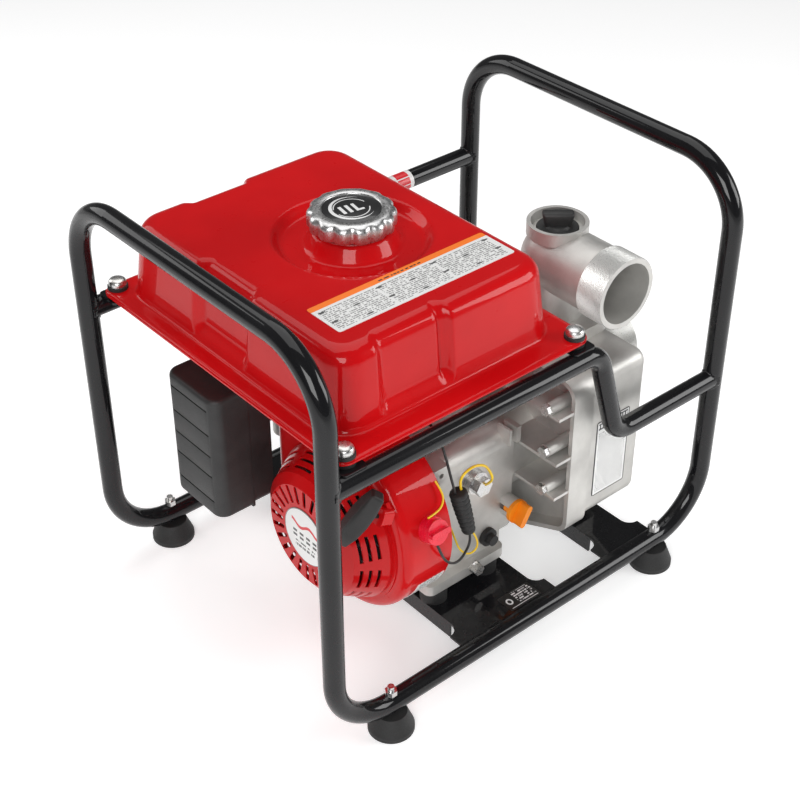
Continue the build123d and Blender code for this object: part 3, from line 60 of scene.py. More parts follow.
# camera, floor and lights
cameraView = {
    "place": (-1.0358, -1.1951, 1.3797),
    "yaw": 40.49,      # degrees from +Y towards +X
    "pitch": 35.81,    # degrees down
    "roll": -0.09,
    "lens": 71.58,
    "sensor": 36.0,
}


def addCamera():
    bpy.ops.object.camera_add(location=cameraView["place"])
    camera = bpy.context.object
    yaw = math.radians(cameraView["yaw"])
    pitch = math.radians(cameraView["pitch"])
    ahead = Vector((math.sin(yaw) * math.cos(pitch), math.cos(yaw) * math.cos(pitch), -math.sin(pitch)))
    turn = ahead.to_track_quat("-Z", "Y").to_matrix()
    roll = Matrix.Rotation(math.radians(cameraView["roll"]), 3, "Z")
    camera.rotation_euler = (turn @ roll).to_euler()
    camera.data.lens = cameraView["lens"]
    camera.data.sensor_width = cameraView["sensor"]
    bpy.context.scene.camera = camera


class Wire:
    # one node output, and arithmetic on it adds Math nodes
    def __init__(self, graph, socket):
        self.graph = graph
        self.socket = socket

    def op(self, operation, *others):
        values = dict(enumerate((self, *others)))
        return self.graph.node("ShaderNodeMath", {"operation": operation}, values)

    def __add__(self, other): return self.op("ADD", other)
    def __radd__(self, other): return self.op("ADD", other)
    def __sub__(self, other): return self.op("SUBTRACT", other)
    def __rsub__(self, other): return self.graph.maths("SUBTRACT", other, self)
    def __mul__(self, other): return self.op("MULTIPLY", other)
    def __rmul__(self, other): return self.op("MULTIPLY", other)
    def __truediv__(self, other): return self.op("DIVIDE", other)
    def __pow__(self, other): return self.op("POWER", other)
    def __gt__(self, other): return self.op("GREATER_THAN", other)
    def __lt__(self, other): return self.op("LESS_THAN", other)
    def __abs__(self): return self.op("ABSOLUTE")


class Finish:
    # a material, whose nodes all come from the method node
    def __init__(self, name, color, rough=0.5, metal=0.0, coat=0.0, coatRough=0.03):
        self.material = bpy.data.materials.new(name)
        self.material.use_nodes = True
        self.tree = self.material.node_tree
        self.shader = next(n for n in self.tree.nodes if n.type == "BSDF_PRINCIPLED")
        self.feed("Base Color", color)
        self.feed("Roughness", rough)
        self.feed("Metallic", metal)
        self.feed("Coat Weight", coat)
        self.feed("Coat Roughness", coatRough)
        self.material.diffuse_color = (*color[:3], 1.0)

    def feed(self, name, value, node=None):
        target = (node or self.shader).inputs[name]
        if isinstance(value, Wire):
            self.tree.links.new(value.socket, target)
        elif target.type == "RGBA" and len(value) == 3:
            target.default_value = (*value, 1.0)
        else:
            target.default_value = value

    def node(self, kind, settings=None, values=None, output=0):
        made = self.tree.nodes.new(kind)
        for key, value in (settings or {}).items():
            if key == "stops":
                for stop in value[2:]:
                    made.color_ramp.elements.new(stop[0])
                for element, stop in zip(made.color_ramp.elements, value):
                    element.position = stop[0]
                    element.color = (*stop[1], 1.0)
            else:
                setattr(made, key, value)
        for key, value in (values or {}).items():
            self.feed(key, value, made)
        return Wire(self, made.outputs[output])

    def maths(self, operation, *values):
        return self.node("ShaderNodeMath", {"operation": operation}, dict(enumerate(values)))

    def place(self, turn=(0, 0, 0), scale=(1, 1, 1), shift=(0, 0, 0)):
        where = self.node("ShaderNodeTexCoord", output="Object")
        values = {"Vector": where, "Rotation": turn, "Scale": scale, "Location": shift}
        return self.node("ShaderNodeMapping", values=values)

    def noise(self, scale, detail=2.0, where=None):
        where = where or self.place()
        values = {"Vector": where, "Scale": scale, "Detail": detail}
        return self.node("ShaderNodeTexNoise", values=values)

    def axes(self, where=None):
        parts = self.node("ShaderNodeSeparateXYZ", values={0: where or self.place()}).socket.node
        return [Wire(self, parts.outputs[axis]) for axis in range(3)]

    def mix(self, factor, first, second, way="MIX"):
        settings = {"data_type": "RGBA", "blend_type": way, "clamp_factor": True}
        return self.node("ShaderNodeMix", settings, {0: factor, 6: first, 7: second}, output=2)

    def fade(self, value, low, high, start=0.0, end=1.0):
        values = {0: value, 1: low, 2: high, 3: start, 4: end}
        return self.node("ShaderNodeMapRange", values=values)

    def bump(self, height, distance, strength=1.0, normal=None):
        values = {"Height": height, "Distance": distance, "Strength": strength}
        if normal:
            values["Normal"] = normal
        made = self.node("ShaderNodeBump", values=values)
        self.feed("Normal", made)
        return made


def addFloor():
    bpy.ops.mesh.primitive_plane_add(size=14.0)
    floor = bpy.context.object
    floor.name = "floor"
    finish = Finish("floorWhite", (0.86, 0.86, 0.86), rough=0.8)
    finish.feed("Emission Color", (1.0, 1.0, 1.0))
    finish.feed("Emission Strength", 0.45)
    floor.data.materials.append(finish.material)


lights = [
    # name, place, aimed at, size, power
    ("keyLight", (-1.9, -1.7, 1.7), (0.0, 0.0, 0.3), 1.4, 42.0),
    ("rightLight", (1.7, -1.6, 1.2), (0.0, 0.0, 0.3), 1.2, 28.0),
    ("topLight", (0.2, 0.5, 2.5), (0.0, 0.0, 0.3), 2.4, 31.0),
    ("backLight", (-0.9, 1.9, 1.4), (0.0, 0.0, 0.3), 1.2, 12.0),
]


def addLights():
    for name, place, target, size, power in lights:
        bpy.ops.object.light_add(type="AREA", location=place)
        lamp = bpy.context.object
        lamp.name = name
        lamp.data.shape = "SQUARE"
        lamp.data.size = size
        lamp.data.energy = power
        lamp.rotation_euler = (Vector(target) - Vector(place)).to_track_quat("-Z", "Y").to_euler()
    world = bpy.context.scene.world or bpy.data.worlds.new("studio")
    bpy.context.scene.world = world
    world.use_nodes = True
    sky = next(n for n in world.node_tree.nodes if n.type == "BACKGROUND")
    sky.inputs["Color"].default_value = (1.0, 1.0, 1.0, 1.0)
    sky.inputs["Strength"].default_value = 0.12
    bpy.context.scene.view_settings.view_transform = "Standard"


addCamera()
addFloor()
addLights()
print("stage: camera, floor and lights")


# finishes
def glossPaint(name, deep, bright, rough=0.32, coat=1.0):
    finish = Finish(name, deep, rough, coat=coat, coatRough=0.03)
    finish.feed("Specular IOR Level", 0.05)
    patches = finish.noise(9.0, 3.0)
    finish.feed("Base Color", finish.mix(finish.fade(patches, 0.35, 0.7), deep, bright))
    dust = finish.noise(60.0, 4.0)
    finish.feed("Roughness", finish.fade(dust, 0.3, 0.8, rough - 0.05, rough + 0.08))
    finish.bump(finish.noise(420.0, 1.0), 0.00006, 0.5)
    return finish


def castMetal(name, dark, light, rough=0.42, grain=900.0):
    finish = Finish(name, light, rough, metal=0.6)
    cloud = finish.noise(22.0, 5.0)
    finish.feed("Base Color", finish.mix(finish.fade(cloud, 0.3, 0.75), dark, light))
    pits = finish.noise(grain, 3.0)
    finish.feed("Roughness", finish.fade(pits, 0.25, 0.8, rough - 0.07, rough + 0.14))
    finish.bump(pits, 0.00035, 0.55)
    return finish


def platedMetal(name, color, rough=0.28, tint=(0.7, 0.66, 0.56)):
    finish = Finish(name, color, rough, metal=1.0)
    cloud = finish.noise(70.0, 4.0)
    finish.feed("Base Color", finish.mix(finish.fade(cloud, 0.45, 0.8, 0.0, 0.6), color, tint))
    finish.feed("Roughness", finish.fade(finish.noise(500.0, 2.0), 0.3, 0.7, rough - 0.06, rough + 0.12))
    finish.bump(finish.noise(1400.0, 2.0), 0.0001, 0.3)
    return finish


def moulded(name, color, rough=0.5, grain=1100.0, depth=0.0003, coat=0.0):
    finish = Finish(name, color, rough, coat=coat, coatRough=0.15)
    lighter = tuple(min(1.0, c * 1.5 + 0.004) for c in color)
    finish.feed("Base Color", finish.mix(finish.fade(finish.noise(35.0, 4.0), 0.4, 0.8), color, lighter))
    texture = finish.noise(grain, 2.0)
    finish.feed("Roughness", finish.fade(texture, 0.3, 0.7, rough - 0.08, rough + 0.1))
    finish.bump(texture, depth, 0.5)
    return finish


redPaint = glossPaint("redPaint", (0.52, 0.003, 0.005), (0.60, 0.005, 0.007), coat=0.45)
blackPaint = glossPaint("blackPaint", (0.006, 0.006, 0.007), (0.010, 0.010, 0.011), rough=0.28, coat=0.65)
castAlu = castMetal("castAlu", (0.48, 0.47, 0.45), (0.68, 0.67, 0.64))
machined = castMetal("machined", (0.62, 0.62, 0.60), (0.78, 0.78, 0.76), rough=0.3)
castIron = castMetal("castIron", (0.10, 0.10, 0.105), (0.2, 0.2, 0.205), rough=0.55)
zinc = platedMetal("zinc", (0.66, 0.66, 0.66))
steel = platedMetal("steel", (0.55, 0.55, 0.55), tint=(0.5, 0.48, 0.45))
capSatin = platedMetal("capSatin", (0.62, 0.62, 0.62), rough=0.3, tint=(0.58, 0.57, 0.55))
chrome = platedMetal("chrome", (0.80, 0.80, 0.80), rough=0.14, tint=(0.72, 0.72, 0.74))
mufflerSteel = platedMetal("mufflerSteel", (0.34, 0.33, 0.31), rough=0.4, tint=(0.3, 0.25, 0.2))
blackPlastic = moulded("blackPlastic", (0.016, 0.016, 0.016), rough=0.5)
softRubber = moulded("softRubber", (0.014, 0.014, 0.014), rough=0.62, grain=700.0)
orangePlastic = moulded("orangePlastic", (0.90, 0.24, 0.004), rough=0.4, depth=0.0001)
redPlastic = moulded("redPlastic", (0.72, 0.006, 0.03), rough=0.3, depth=0.0001, coat=0.4)
blackCable = moulded("blackCable", (0.012, 0.012, 0.012), rough=0.38, depth=0.0001)
yellowCable = moulded("yellowCable", (0.80, 0.50, 0.01), rough=0.4, depth=0.0001)
foam = moulded("foam", (0.06, 0.06, 0.065), rough=0.9, grain=300.0, depth=0.0015)
braid = moulded("braid", (0.02, 0.02, 0.02), rough=0.8, grain=900.0, depth=0.0006)

slotFinish = {
    "black_paint": blackPaint, "red_paint": redPaint, "zinc": zinc, "chrome": chrome,
    "cast_alu": castAlu, "rubber": softRubber, "black_plastic": blackPlastic,
    "orange_plastic": orangePlastic, "red_plastic": redPlastic, "cable_black": blackCable,
    "cable_yellow": yellowCable, "steel": steel, "cast_iron": castIron, "foam": foam,
    "muffler_steel": mufflerSteel, "rope": braid,
}
for part in frame["record"]["subparts"]:
    shown = nodes[part["node"]]
    finish = slotFinish[part["material_slot"]]
    for index in range(len(shown.material_slots)):
        shown.material_slots[index].material = finish.material
    if not shown.material_slots:
        shown.data.materials.append(finish.material)
print("stage: finishes on the CAD nodes")


# shaping by hand: primitives, edit mode and applied modifiers
def choose(*shapes):
    bpy.ops.object.select_all(action="DESELECT")
    for shape in shapes:
        shape.select_set(True)
    bpy.context.view_layer.objects.active = shapes[-1]


def settle(name):
    # the newest object gets its name, and its place goes into its mesh
    shape = bpy.context.object
    shape.name = name
    shape.data.name = name
    choose(shape)
    bpy.ops.object.transform_apply(location=True, rotation=True, scale=True)
    return shape


def newBlock(name, low, high):
    low, high = Vector(low), Vector(high)
    bpy.ops.object.select_all(action="DESELECT")
    bpy.ops.mesh.primitive_cube_add(size=1.0, location=(low + high) / 2, scale=high - low)
    return settle(name)


def newRound(name, base, axis, length, radius, topRadius=None, sides=48):
    axis = Vector(axis).normalized()
    turn = axis.to_track_quat("Z", "Y").to_euler()
    bpy.ops.object.select_all(action="DESELECT")
    bpy.ops.mesh.primitive_cone_add(
        vertices=sides, radius1=radius, radius2=radius if topRadius is None else topRadius,
        depth=length, location=Vector(base) + axis * length / 2, rotation=turn)
    return settle(name)


def pick(shape, kind, test):
    # edit mode, with only the faces, edges or points chosen that pass the test
    choose(shape)
    bpy.ops.object.mode_set(mode="EDIT")
    bpy.ops.mesh.select_mode(type=kind)
    bpy.ops.mesh.select_all(action="DESELECT")
    mesh = bmesh.from_edit_mesh(shape.data)
    items = {"VERT": mesh.verts, "EDGE": mesh.edges, "FACE": mesh.faces}[kind]
    for item in items:
        spots = [item.co] if kind == "VERT" else [v.co for v in item.verts]
        spot = sum(spots, Vector()) / len(spots)
        item.select_set(bool(test(spot, item)))
    mesh.select_flush_mode()
    bmesh.update_edit_mesh(shape.data)


def objectMode():
    bpy.ops.object.mode_set(mode="OBJECT")


def bevel(shape, kindTest, width, segments=3):
    pick(shape, "EDGE", kindTest)
    bpy.ops.mesh.bevel(offset=width, segments=segments, affect="EDGES")
    objectMode()


def bevelAll(shape, width, segments=3, angle=30):
    modify(shape, "BEVEL", width=width, segments=segments, limit_method="ANGLE",
           angle_limit=math.radians(angle))


def modify(shape, kind, **settings):
    choose(shape)
    made = shape.modifiers.new(kind.title(), kind)
    for key, value in settings.items():
        setattr(made, key, value)
    bpy.ops.object.modifier_apply(modifier=made.name)


def cut(shape, tool, operation="DIFFERENCE"):
    modify(shape, "BOOLEAN", object=tool, operation=operation, solver="EXACT")
    bpy.data.objects.remove(tool)


def joined(name, shapes):
    choose(*shapes)
    bpy.ops.object.join()
    return settle(name)


def upright(edge):
    across = edge.verts[0].co - edge.verts[1].co
    return across.length > 0 and abs(across.z) > 0.98 * across.length


def complete(shape, finish, body="machine", replaced=(), angle=35):
    choose(shape)
    bpy.ops.object.shade_smooth_by_angle(angle=math.radians(angle))
    shape.data.materials.clear()
    shape.data.materials.append(finish.material)
    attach(shape, body)
    if replaced:
        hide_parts(*replaced)
    return shape


def turned(name, base, axis, rings, sides=64):
    # a lathe part: rings of (radius, height), extruded one after the other from a disc
    bpy.ops.object.select_all(action="DESELECT")
    bpy.ops.mesh.primitive_circle_add(vertices=sides, radius=rings[0][0], fill_type="NGON",
                                      location=(0, 0, rings[0][1]))
    bpy.ops.object.transform_apply(location=True)
    made = bpy.context.object
    bpy.ops.object.mode_set(mode="EDIT")
    bpy.ops.mesh.select_all(action="SELECT")
    for (radius, height), (wider, higher) in zip(rings, rings[1:]):
        bpy.ops.mesh.extrude_region_move(TRANSFORM_OT_translate={"value": (0, 0, higher - height)})
        grow = wider / radius
        bpy.ops.transform.resize(value=(grow, grow, 1.0), center_override=(0, 0, higher))
    bpy.ops.mesh.select_all(action="SELECT")
    bpy.ops.mesh.normals_make_consistent(inside=False)
    objectMode()
    turn = Vector(axis).normalized().to_track_quat("Z", "Y").to_matrix().to_4x4()
    made.matrix_world = Matrix.Translation(Vector(base)) @ turn
    return settle(name)


# fuel tank
tank = {
    "top": ((-0.250, -0.181), (0.044, 0.195)),    # low and high corners of the flat roof
    "height": 0.094,                              # seam to roof
    "spread": 0.010,
    "cornerRadius": 0.036,
    "edgeRadius": 0.017,
    "dishRadius": 0.091,
    "dishDepth": 0.011,
    "neckRadius": (0.060, 0.045),
    "grain": 0.0026,                              # cell of the remesh
    "sheet": 0.002,
    "holeRadius": 0.0385,
    "fade": 0.050,                                # how far over the roof a pressed wall pulls
}


def roundedBlock(name, low, high, radius, steps=8):
    made = newBlock(name, low, high)
    bevel(made, lambda spot, edge: upright(edge), radius, steps)
    return made


presses = [
    # axis and side of the wall, run along it, depth, width of its ramps
    (0, -1, (-0.028, 0.062), 0.009, 0.012),
    (1, -1, (-0.197, -0.110), 0.006, 0.012),
    (1, -1, (-0.114, -0.102), 0.007, 0.005),
    (1, 1, (-0.177, -0.095), 0.009, 0.012),
]


def ramp(value, low, high):
    share = min(1.0, max(0.0, (value - low) / (high - low)))
    return share * share * (3.0 - 2.0 * share)


def pressWalls(body, seam, roof):
    # the tank walls are pulled in over a run, and the roof's rounded edge goes with them
    pick(body, "VERT", lambda spot, vert: spot.z > seam)
    mesh = bmesh.from_edit_mesh(body.data)
    for vert in mesh.verts:
        lean = tank["spread"] * (roof - vert.co.z) / (roof - seam)
        for axis, side, (low, high), depth, ease in presses:
            wall = tank["top"][0 if side < 0 else 1][axis] + side * lean
            along = vert.co[1 - axis]
            run = ramp(along, low - ease / 2, low + ease / 2)
            run = run - ramp(along, high - ease / 2, high + ease / 2)
            near = 1.0 - ramp(side * (wall - vert.co[axis]), 0.0, tank["fade"])
            rise = ramp(vert.co.z, seam + 0.006, seam + 0.022)
            vert.co[axis] -= side * depth * run * near * rise
    bmesh.update_edit_mesh(body.data)
    objectMode()


def buildTank():
    flangeLow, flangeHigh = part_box("tank_upper_shell")
    seam = flangeLow.z
    neckTop = flangeHigh.z
    (x0, y0), (x1, y1) = tank["top"]
    roof = seam + tank["height"]
    spread = tank["spread"]
    body = roundedBlock("tankShell", (x0 - spread, y0 - spread, seam - 0.012),
                        (x1 + spread, y1 + spread, roof), tank["cornerRadius"], 10)
    pick(body, "VERT", lambda spot, vert: spot.z > roof - 0.001)
    wide = ((x1 - x0) / (x1 - x0 + 2 * spread), (y1 - y0) / (y1 - y0 + 2 * spread), 1.0)
    bpy.ops.transform.resize(value=wide, center_override=((x0 + x1) / 2, (y0 + y1) / 2, roof))
    objectMode()
    bevel(body, lambda spot, edge: spot.z > roof - 0.001 and not upright(edge),
          tank["edgeRadius"], 6)

    # the dish and the neck that rises from it
    filler = middle("fuel_cap")
    dishFloor = roof - tank["dishDepth"]
    dish = newRound("dish", (filler.x, filler.y, dishFloor), (0, 0, 1), 0.022,
                    tank["dishRadius"] - 0.010, tank["dishRadius"] + 0.008, 72)
    cut(body, dish)
    low, high = tank["neckRadius"]
    neck = newRound("neck", (filler.x, filler.y, dishFloor - 0.01), (0, 0, 1),
                    neckTop - dishFloor + 0.01, low, high, 72)
    cut(body, neck, "UNION")
    flange = roundedBlock("flange", (flangeLow.x, flangeLow.y, seam - 0.012),
                          (flangeHigh.x, flangeHigh.y, seam + tank["sheet"]), 0.018, 6)
    cut(body, flange, "UNION")
    modify(body, "REMESH", mode="VOXEL", voxel_size=tank["grain"])
    modify(body, "SMOOTH", factor=0.5, iterations=7)
    pressWalls(body, seam, roof)
    hole = newRound("hole", (filler.x, filler.y, dishFloor - 0.02), (0, 0, 1), 0.08, tank["holeRadius"])
    cut(body, hole)

    # open below, then given its sheet thickness
    pick(body, "FACE", lambda spot, face: True)
    bpy.ops.mesh.bisect(plane_co=(0, 0, seam), plane_no=(0, 0, 1), clear_inner=True)
    objectMode()
    pick(body, "FACE", lambda spot, face: (spot.xy - filler.xy).length < tank["holeRadius"] + 0.0002)
    bpy.ops.mesh.delete(type="FACE")
    objectMode()
    modify(body, "SOLIDIFY", thickness=tank["sheet"], offset=-1.0)
    complete(body, redPaint, replaced=["tank_upper_shell"], angle=60)
    return body


tankBolts = {"x": (-0.266, 0.060), "y": (-0.208, 0.208), "head": 0.0055}


def buildBoltHeads():
    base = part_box("tank_bolts")[1].z - tankBolts["head"]
    rings = [(0.0104, 0.0), (0.0106, 0.0020), (0.0101, 0.0045), (0.0087, 0.0061), (0.0052, 0.0072),
             (0.0012, 0.0075)]
    heads = [turned("boltHead", (x, y, base), (0, 0, 1), rings, 40)
             for x in tankBolts["x"] for y in tankBolts["y"]]
    complete(joined("tankBoltHeads", heads), zinc, angle=60)


buildTank()
buildBoltHeads()
print("stage: fuel tank")


# printed labels, with generic bars for their text
paperWhite = (0.80, 0.80, 0.79)


def within(value, low, high):
    return (value > low) * (value < high)


def printedRows(finish, across, up, pitch, dashes, seed=0.0):
    # rows of short dashes that look like small print from a distance
    row = up / pitch
    inRow = row.op("FRACT") < 0.55
    number = row.op("FLOOR") * 3.7 + seed
    where = finish.node("ShaderNodeCombineXYZ", values={0: across * dashes, 1: number})
    return inRow * (finish.noise(1.0, 1.0, where) > 0.47)


def paper(name, color=paperWhite):
    return Finish(name, color, rough=0.38, coat=0.3, coatRough=0.12)


tankLabel = {"x": (-0.217, 0.027), "y": (-0.143, -0.088), "stripe": 0.0085, "thick": 0.0005}


def buildTankLabel():
    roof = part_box("tank_upper_shell")[0].z + tank["height"]
    (x0, x1), (y0, y1) = tankLabel["x"], tankLabel["y"]
    label = roundedBlock("tankLabel", (x0, y0, roof - 0.0003), (x1, y1, roof + tankLabel["thick"]),
                         0.003, 4)
    finish = paper("tankLabelPaper")
    x, y, z = finish.axes()
    margin = within(x, x0 + 0.004, x1 - 0.004) * within(y, y0 + 0.004, y1 - 0.012)
    columns = 1.0 - within(((x - x0) / 0.079).op("FRACT"), 0.0, 0.05)
    smallPrint = printedRows(finish, x, y, 0.0031, 420.0) * margin * columns
    dots = ((x * 83.0).op("SINE") * (y * 290.0).op("SINE") > 0.93) * margin
    ink = finish.mix((smallPrint * 0.72).op("MAXIMUM", dots), paperWhite, (0.05, 0.05, 0.05))
    stripe = y > y1 - tankLabel["stripe"]
    header = printedRows(finish, x, y - (y1 - 0.0062), 0.0042, 300.0, 5.0)
    header = header * within(x, -0.125, -0.065) * within(y, y1 - 0.006, y1 - 0.0025)
    orange = finish.mix(header, (0.95, 0.20, 0.01), (0.03, 0.02, 0.02))
    finish.feed("Base Color", finish.mix(stripe, ink, orange))
    complete(label, finish)


badge = {"radius": 0.0375, "thick": 0.0012}


def buildBadge():
    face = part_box("recoil_cover")[0].x
    hub = middle("flywheel_fan")
    disc = newRound("recoilBadge", (face + 0.0002, hub.y, hub.z), (-1, 0, 0), badge["thick"],
                    badge["radius"], sides=72)
    bevelAll(disc, 0.0004, 2)
    finish = paper("badgePaper", (0.86, 0.86, 0.85))
    x, y, z = finish.axes()
    across = y * -1.0 + hub.y
    up = z - hub.z
    wave = abs(up - 0.013 - (across * 190.0).op("SINE") * 0.0035) < 0.0022
    wave = wave * within(across, -0.024, 0.024)
    blocks = within(up, -0.008, 0.002) * within((across / 0.012).op("FRACT"), 0.18, 0.78)
    blocks = blocks * within(across, -0.024, 0.024) * (1.0 - within(up, -0.0045, -0.0015))
    small = printedRows(finish, across, up + 0.021, 0.0062, 260.0) * within(up, -0.021, -0.0125)
    small = small * within(across, -0.018, 0.018)
    ring = ((across ** 2.0) + (up ** 2.0)).op("SQRT") > badge["radius"] - 0.0012
    dark = (blocks + small).op("MINIMUM", 1.0)
    color = finish.mix(dark, (0.86, 0.86, 0.85), (0.03, 0.03, 0.03))
    color = finish.mix(wave, color, (0.70, 0.01, 0.02))
    finish.feed("Base Color", finish.mix(ring, color, (0.25, 0.25, 0.25)))
    complete(disc, finish)


pumpLabel = {"x": (0.124, 0.180), "z": (0.142, 0.254)}


def buildPumpLabel():
    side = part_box("pump_case")[0].y
    (x0, x1), (z0, z1) = pumpLabel["x"], pumpLabel["z"]
    label = newBlock("pumpLabel", (x0, side - 0.0005, z0), (x1, side + 0.0004, z1))
    bevel(label, lambda spot, edge: abs(edge.verts[0].co.y - edge.verts[1].co.y) > 0.0005, 0.003, 4)
    finish = paper("pumpLabelPaper")
    x, y, z = finish.axes()
    border = 1.0 - within(x, x0 + 0.0014, x1 - 0.0014) * within(z, z0 + 0.0014, z1 - 0.0014)
    header = within(z, z1 - 0.0125, z1 - 0.003) * within(x, x0 + 0.003, x1 - 0.003)
    letters = within((x / 0.0048).op("FRACT"), 0.2, 0.75) * within(z, z1 - 0.0100, z1 - 0.0052)
    text = printedRows(finish, x, z, 0.0034, 520.0, 2.0)
    text = text * within(z, z0 + 0.005, z1 - 0.016) * within(x, x0 + 0.004, x1 - 0.004)
    color = finish.mix(text * 0.6, paperWhite, (0.08, 0.08, 0.08))
    color = finish.mix((border + header).op("MINIMUM", 1.0), color, (0.012, 0.012, 0.012))
    finish.feed("Base Color", finish.mix(header * letters, color, (0.8, 0.8, 0.8)))
    complete(label, finish)


plateSticker = {"x": (-0.020, 0.030), "y": (-0.213, -0.186), "top": 0.05}


def buildPlateSticker():
    top = plateSticker["top"]
    (x0, x1), (y0, y1) = plateSticker["x"], plateSticker["y"]
    label = roundedBlock("plateSticker", (x0, y0, top - 0.0002), (x1, y1, top + 0.0004), 0.002, 3)
    finish = Finish("plateStickerFilm", (0.01, 0.01, 0.01), rough=0.35)
    x, y, z = finish.axes()
    text = printedRows(finish, x, y, 0.0037, 480.0, 1.0)
    text = text * within(x, x0 + 0.019, x1 - 0.003) * within(y, y0 + 0.006, y1 - 0.002)
    line = within(y, y0 + 0.0025, y0 + 0.0034) * within(x, x0 + 0.004, x1 - 0.003)
    spot = ((x - (x0 + 0.009)) * 1.2) ** 2.0 + (y - (y0 + 0.014)) ** 2.0
    drop = (spot < 0.000028) * (1.0 - (spot < 0.000009))
    white = (text + line + drop).op("MINIMUM", 1.0)
    finish.feed("Base Color", finish.mix(white, (0.012, 0.012, 0.012), (0.75, 0.75, 0.75)))
    complete(label, finish)


barSticker = {"x": (0.150, 0.190), "angle": (60, 215), "radius": 0.0123, "tube": 0.0125,
              "height": 0.387}


def wrapped(name, base, radius, spanX, angles, thick=0.0005, steps=16):
    # a thin sheet bent round an axis along X, from one angle to the other
    bpy.ops.object.select_all(action="DESELECT")
    bpy.ops.mesh.primitive_grid_add(x_subdivisions=6, y_subdivisions=steps, size=1.0)
    sheet = bpy.context.object
    pick(sheet, "VERT", lambda spot, vert: True)
    mesh = bmesh.from_edit_mesh(sheet.data)
    low, high = (math.radians(angle) for angle in angles)
    for vert in mesh.verts:
        turn = low + (vert.co.y + 0.5) * (high - low)
        vert.co = Vector((spanX[0] + (vert.co.x + 0.5) * (spanX[1] - spanX[0]),
                          base[0] + radius * math.cos(turn), base[1] + radius * math.sin(turn)))
    bpy.ops.mesh.normals_make_consistent(inside=False)
    bmesh.update_edit_mesh(sheet.data)
    objectMode()
    modify(sheet, "SOLIDIFY", thickness=thick, offset=0.0)
    return settle(name)


def buildBarSticker():
    x0, x1 = barSticker["x"]
    centre = (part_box("right_hoop")[1].y - barSticker["tube"], barSticker["height"])
    label = wrapped("barSticker", centre, barSticker["radius"], (x0, x1), barSticker["angle"])
    finish = paper("barStickerFilm")
    x, y, z = finish.axes()
    red = within(x, x0 + 0.014, x1 - 0.006)
    stripes = 1.0 - within(((z - centre[1]) / 0.009).op("FRACT"), 0.0, 0.12)
    finish.feed("Base Color", finish.mix(red * stripes, paperWhite, (0.70, 0.01, 0.02)))
    complete(label, finish)


blowerLabel = {"x": (-0.143, -0.103), "angle": (203, 230), "radius": 0.1173}


def buildBlowerLabel():
    hub = middle("flywheel_fan")
    x0, x1 = blowerLabel["x"]
    label = wrapped("blowerLabel", (hub.y, hub.z), blowerLabel["radius"], (x0, x1),
                    blowerLabel["angle"])
    finish = paper("blowerLabelFilm")
    x, y, z = finish.axes()
    text = printedRows(finish, x, z, 0.0042, 420.0, 3.0) * within(x, x0 + 0.003, x1 - 0.003)
    finish.feed("Base Color", finish.mix(text * 0.7, paperWhite, (0.05, 0.05, 0.05)))
    complete(label, finish)


buildTankLabel()
buildBadge()
buildPumpLabel()
buildPlateSticker()
buildBarSticker()
buildBlowerLabel()
print("stage: labels")


# fuel cap: a scalloped metal rim round a dark disc
fuelCap = {"grips": 14, "scallop": 0.0034, "disc": 0.0315, "seat": 0.514, "textTurn": -10.0}


def buildFuelCap():
    top = corner("fuel_cap", False).z
    hub = middle("fuel_cap")
    base = fuelCap["seat"]
    tall = top - base
    rings = [(0.0455, 0.0), (0.0495, 0.0012), (0.0500, 0.004), (0.0500, tall - 0.0075),
             (0.0492, tall - 0.0045), (0.0470, tall - 0.0020), (0.0440, tall - 0.0006),
             (0.0410, tall), (0.0345, tall), (0.0335, tall - 0.0006), (0.0330, tall - 0.0022)]
    rim = turned("fuelCapRim", (hub.x, hub.y, base), (0, 0, 1), rings, sides=fuelCap["grips"] * 10)
    pick(rim, "VERT", lambda spot, vert: True)
    mesh = bmesh.from_edit_mesh(rim.data)
    for vert in mesh.verts:
        reach = Vector((vert.co.x - hub.x, vert.co.y - hub.y))
        if reach.length > 0.0435:
            wave = 0.5 + 0.5 * math.cos(fuelCap["grips"] * math.atan2(reach.y, reach.x))
            share = min(1.0, (reach.length - 0.0435) / 0.005)
            pull = fuelCap["scallop"] * share * wave ** 2
            vert.co.x -= reach.x / reach.length * pull
            vert.co.y -= reach.y / reach.length * pull
    bmesh.update_edit_mesh(rim.data)
    objectMode()
    complete(rim, capSatin, body="fuel_cap", replaced=["fuel_cap"], angle=50)

    disc = newRound("fuelCapDisc", (hub.x, hub.y, top - 0.0023), (0, 0, 1), 0.0014,
                    fuelCap["disc"] + 0.0014, fuelCap["disc"] + 0.0012, sides=72)
    bevelAll(disc, 0.0004, 2)
    finish = Finish("capDiscPrint", (0.01, 0.01, 0.01), rough=0.3, coat=0.5)
    x, y, z = finish.axes()
    turn = math.radians(fuelCap["textTurn"])
    left, ahead = x - hub.x, y - hub.y
    across = left * math.cos(turn) + ahead * math.sin(turn)
    up = ahead * math.cos(turn) - left * math.sin(turn)
    reach = (across ** 2.0 + up ** 2.0).op("SQRT")
    crescent = (reach < 0.0255) * (((across - 0.0024) ** 2.0 + up ** 2.0).op("SQRT") > 0.0238)
    ring = within(reach, 0.0195, 0.0207) * (abs(up) > 0.006)
    bars = within(across, -0.0135, -0.0095) + within(across, -0.0055, -0.0015)
    bars = bars + within(across, 0.0025, 0.0063)
    foot = within(across, 0.0025, 0.0125) * within(up, -0.0085, -0.0050)
    marks = (bars * within(up, -0.0085, 0.0085) + foot + crescent + ring).op("MINIMUM", 1.0)
    finish.feed("Base Color", finish.mix(marks, (0.008, 0.008, 0.009), (0.82, 0.82, 0.82)))
    complete(disc, finish, body="fuel_cap")


buildFuelCap()
print("stage: fuel cap")


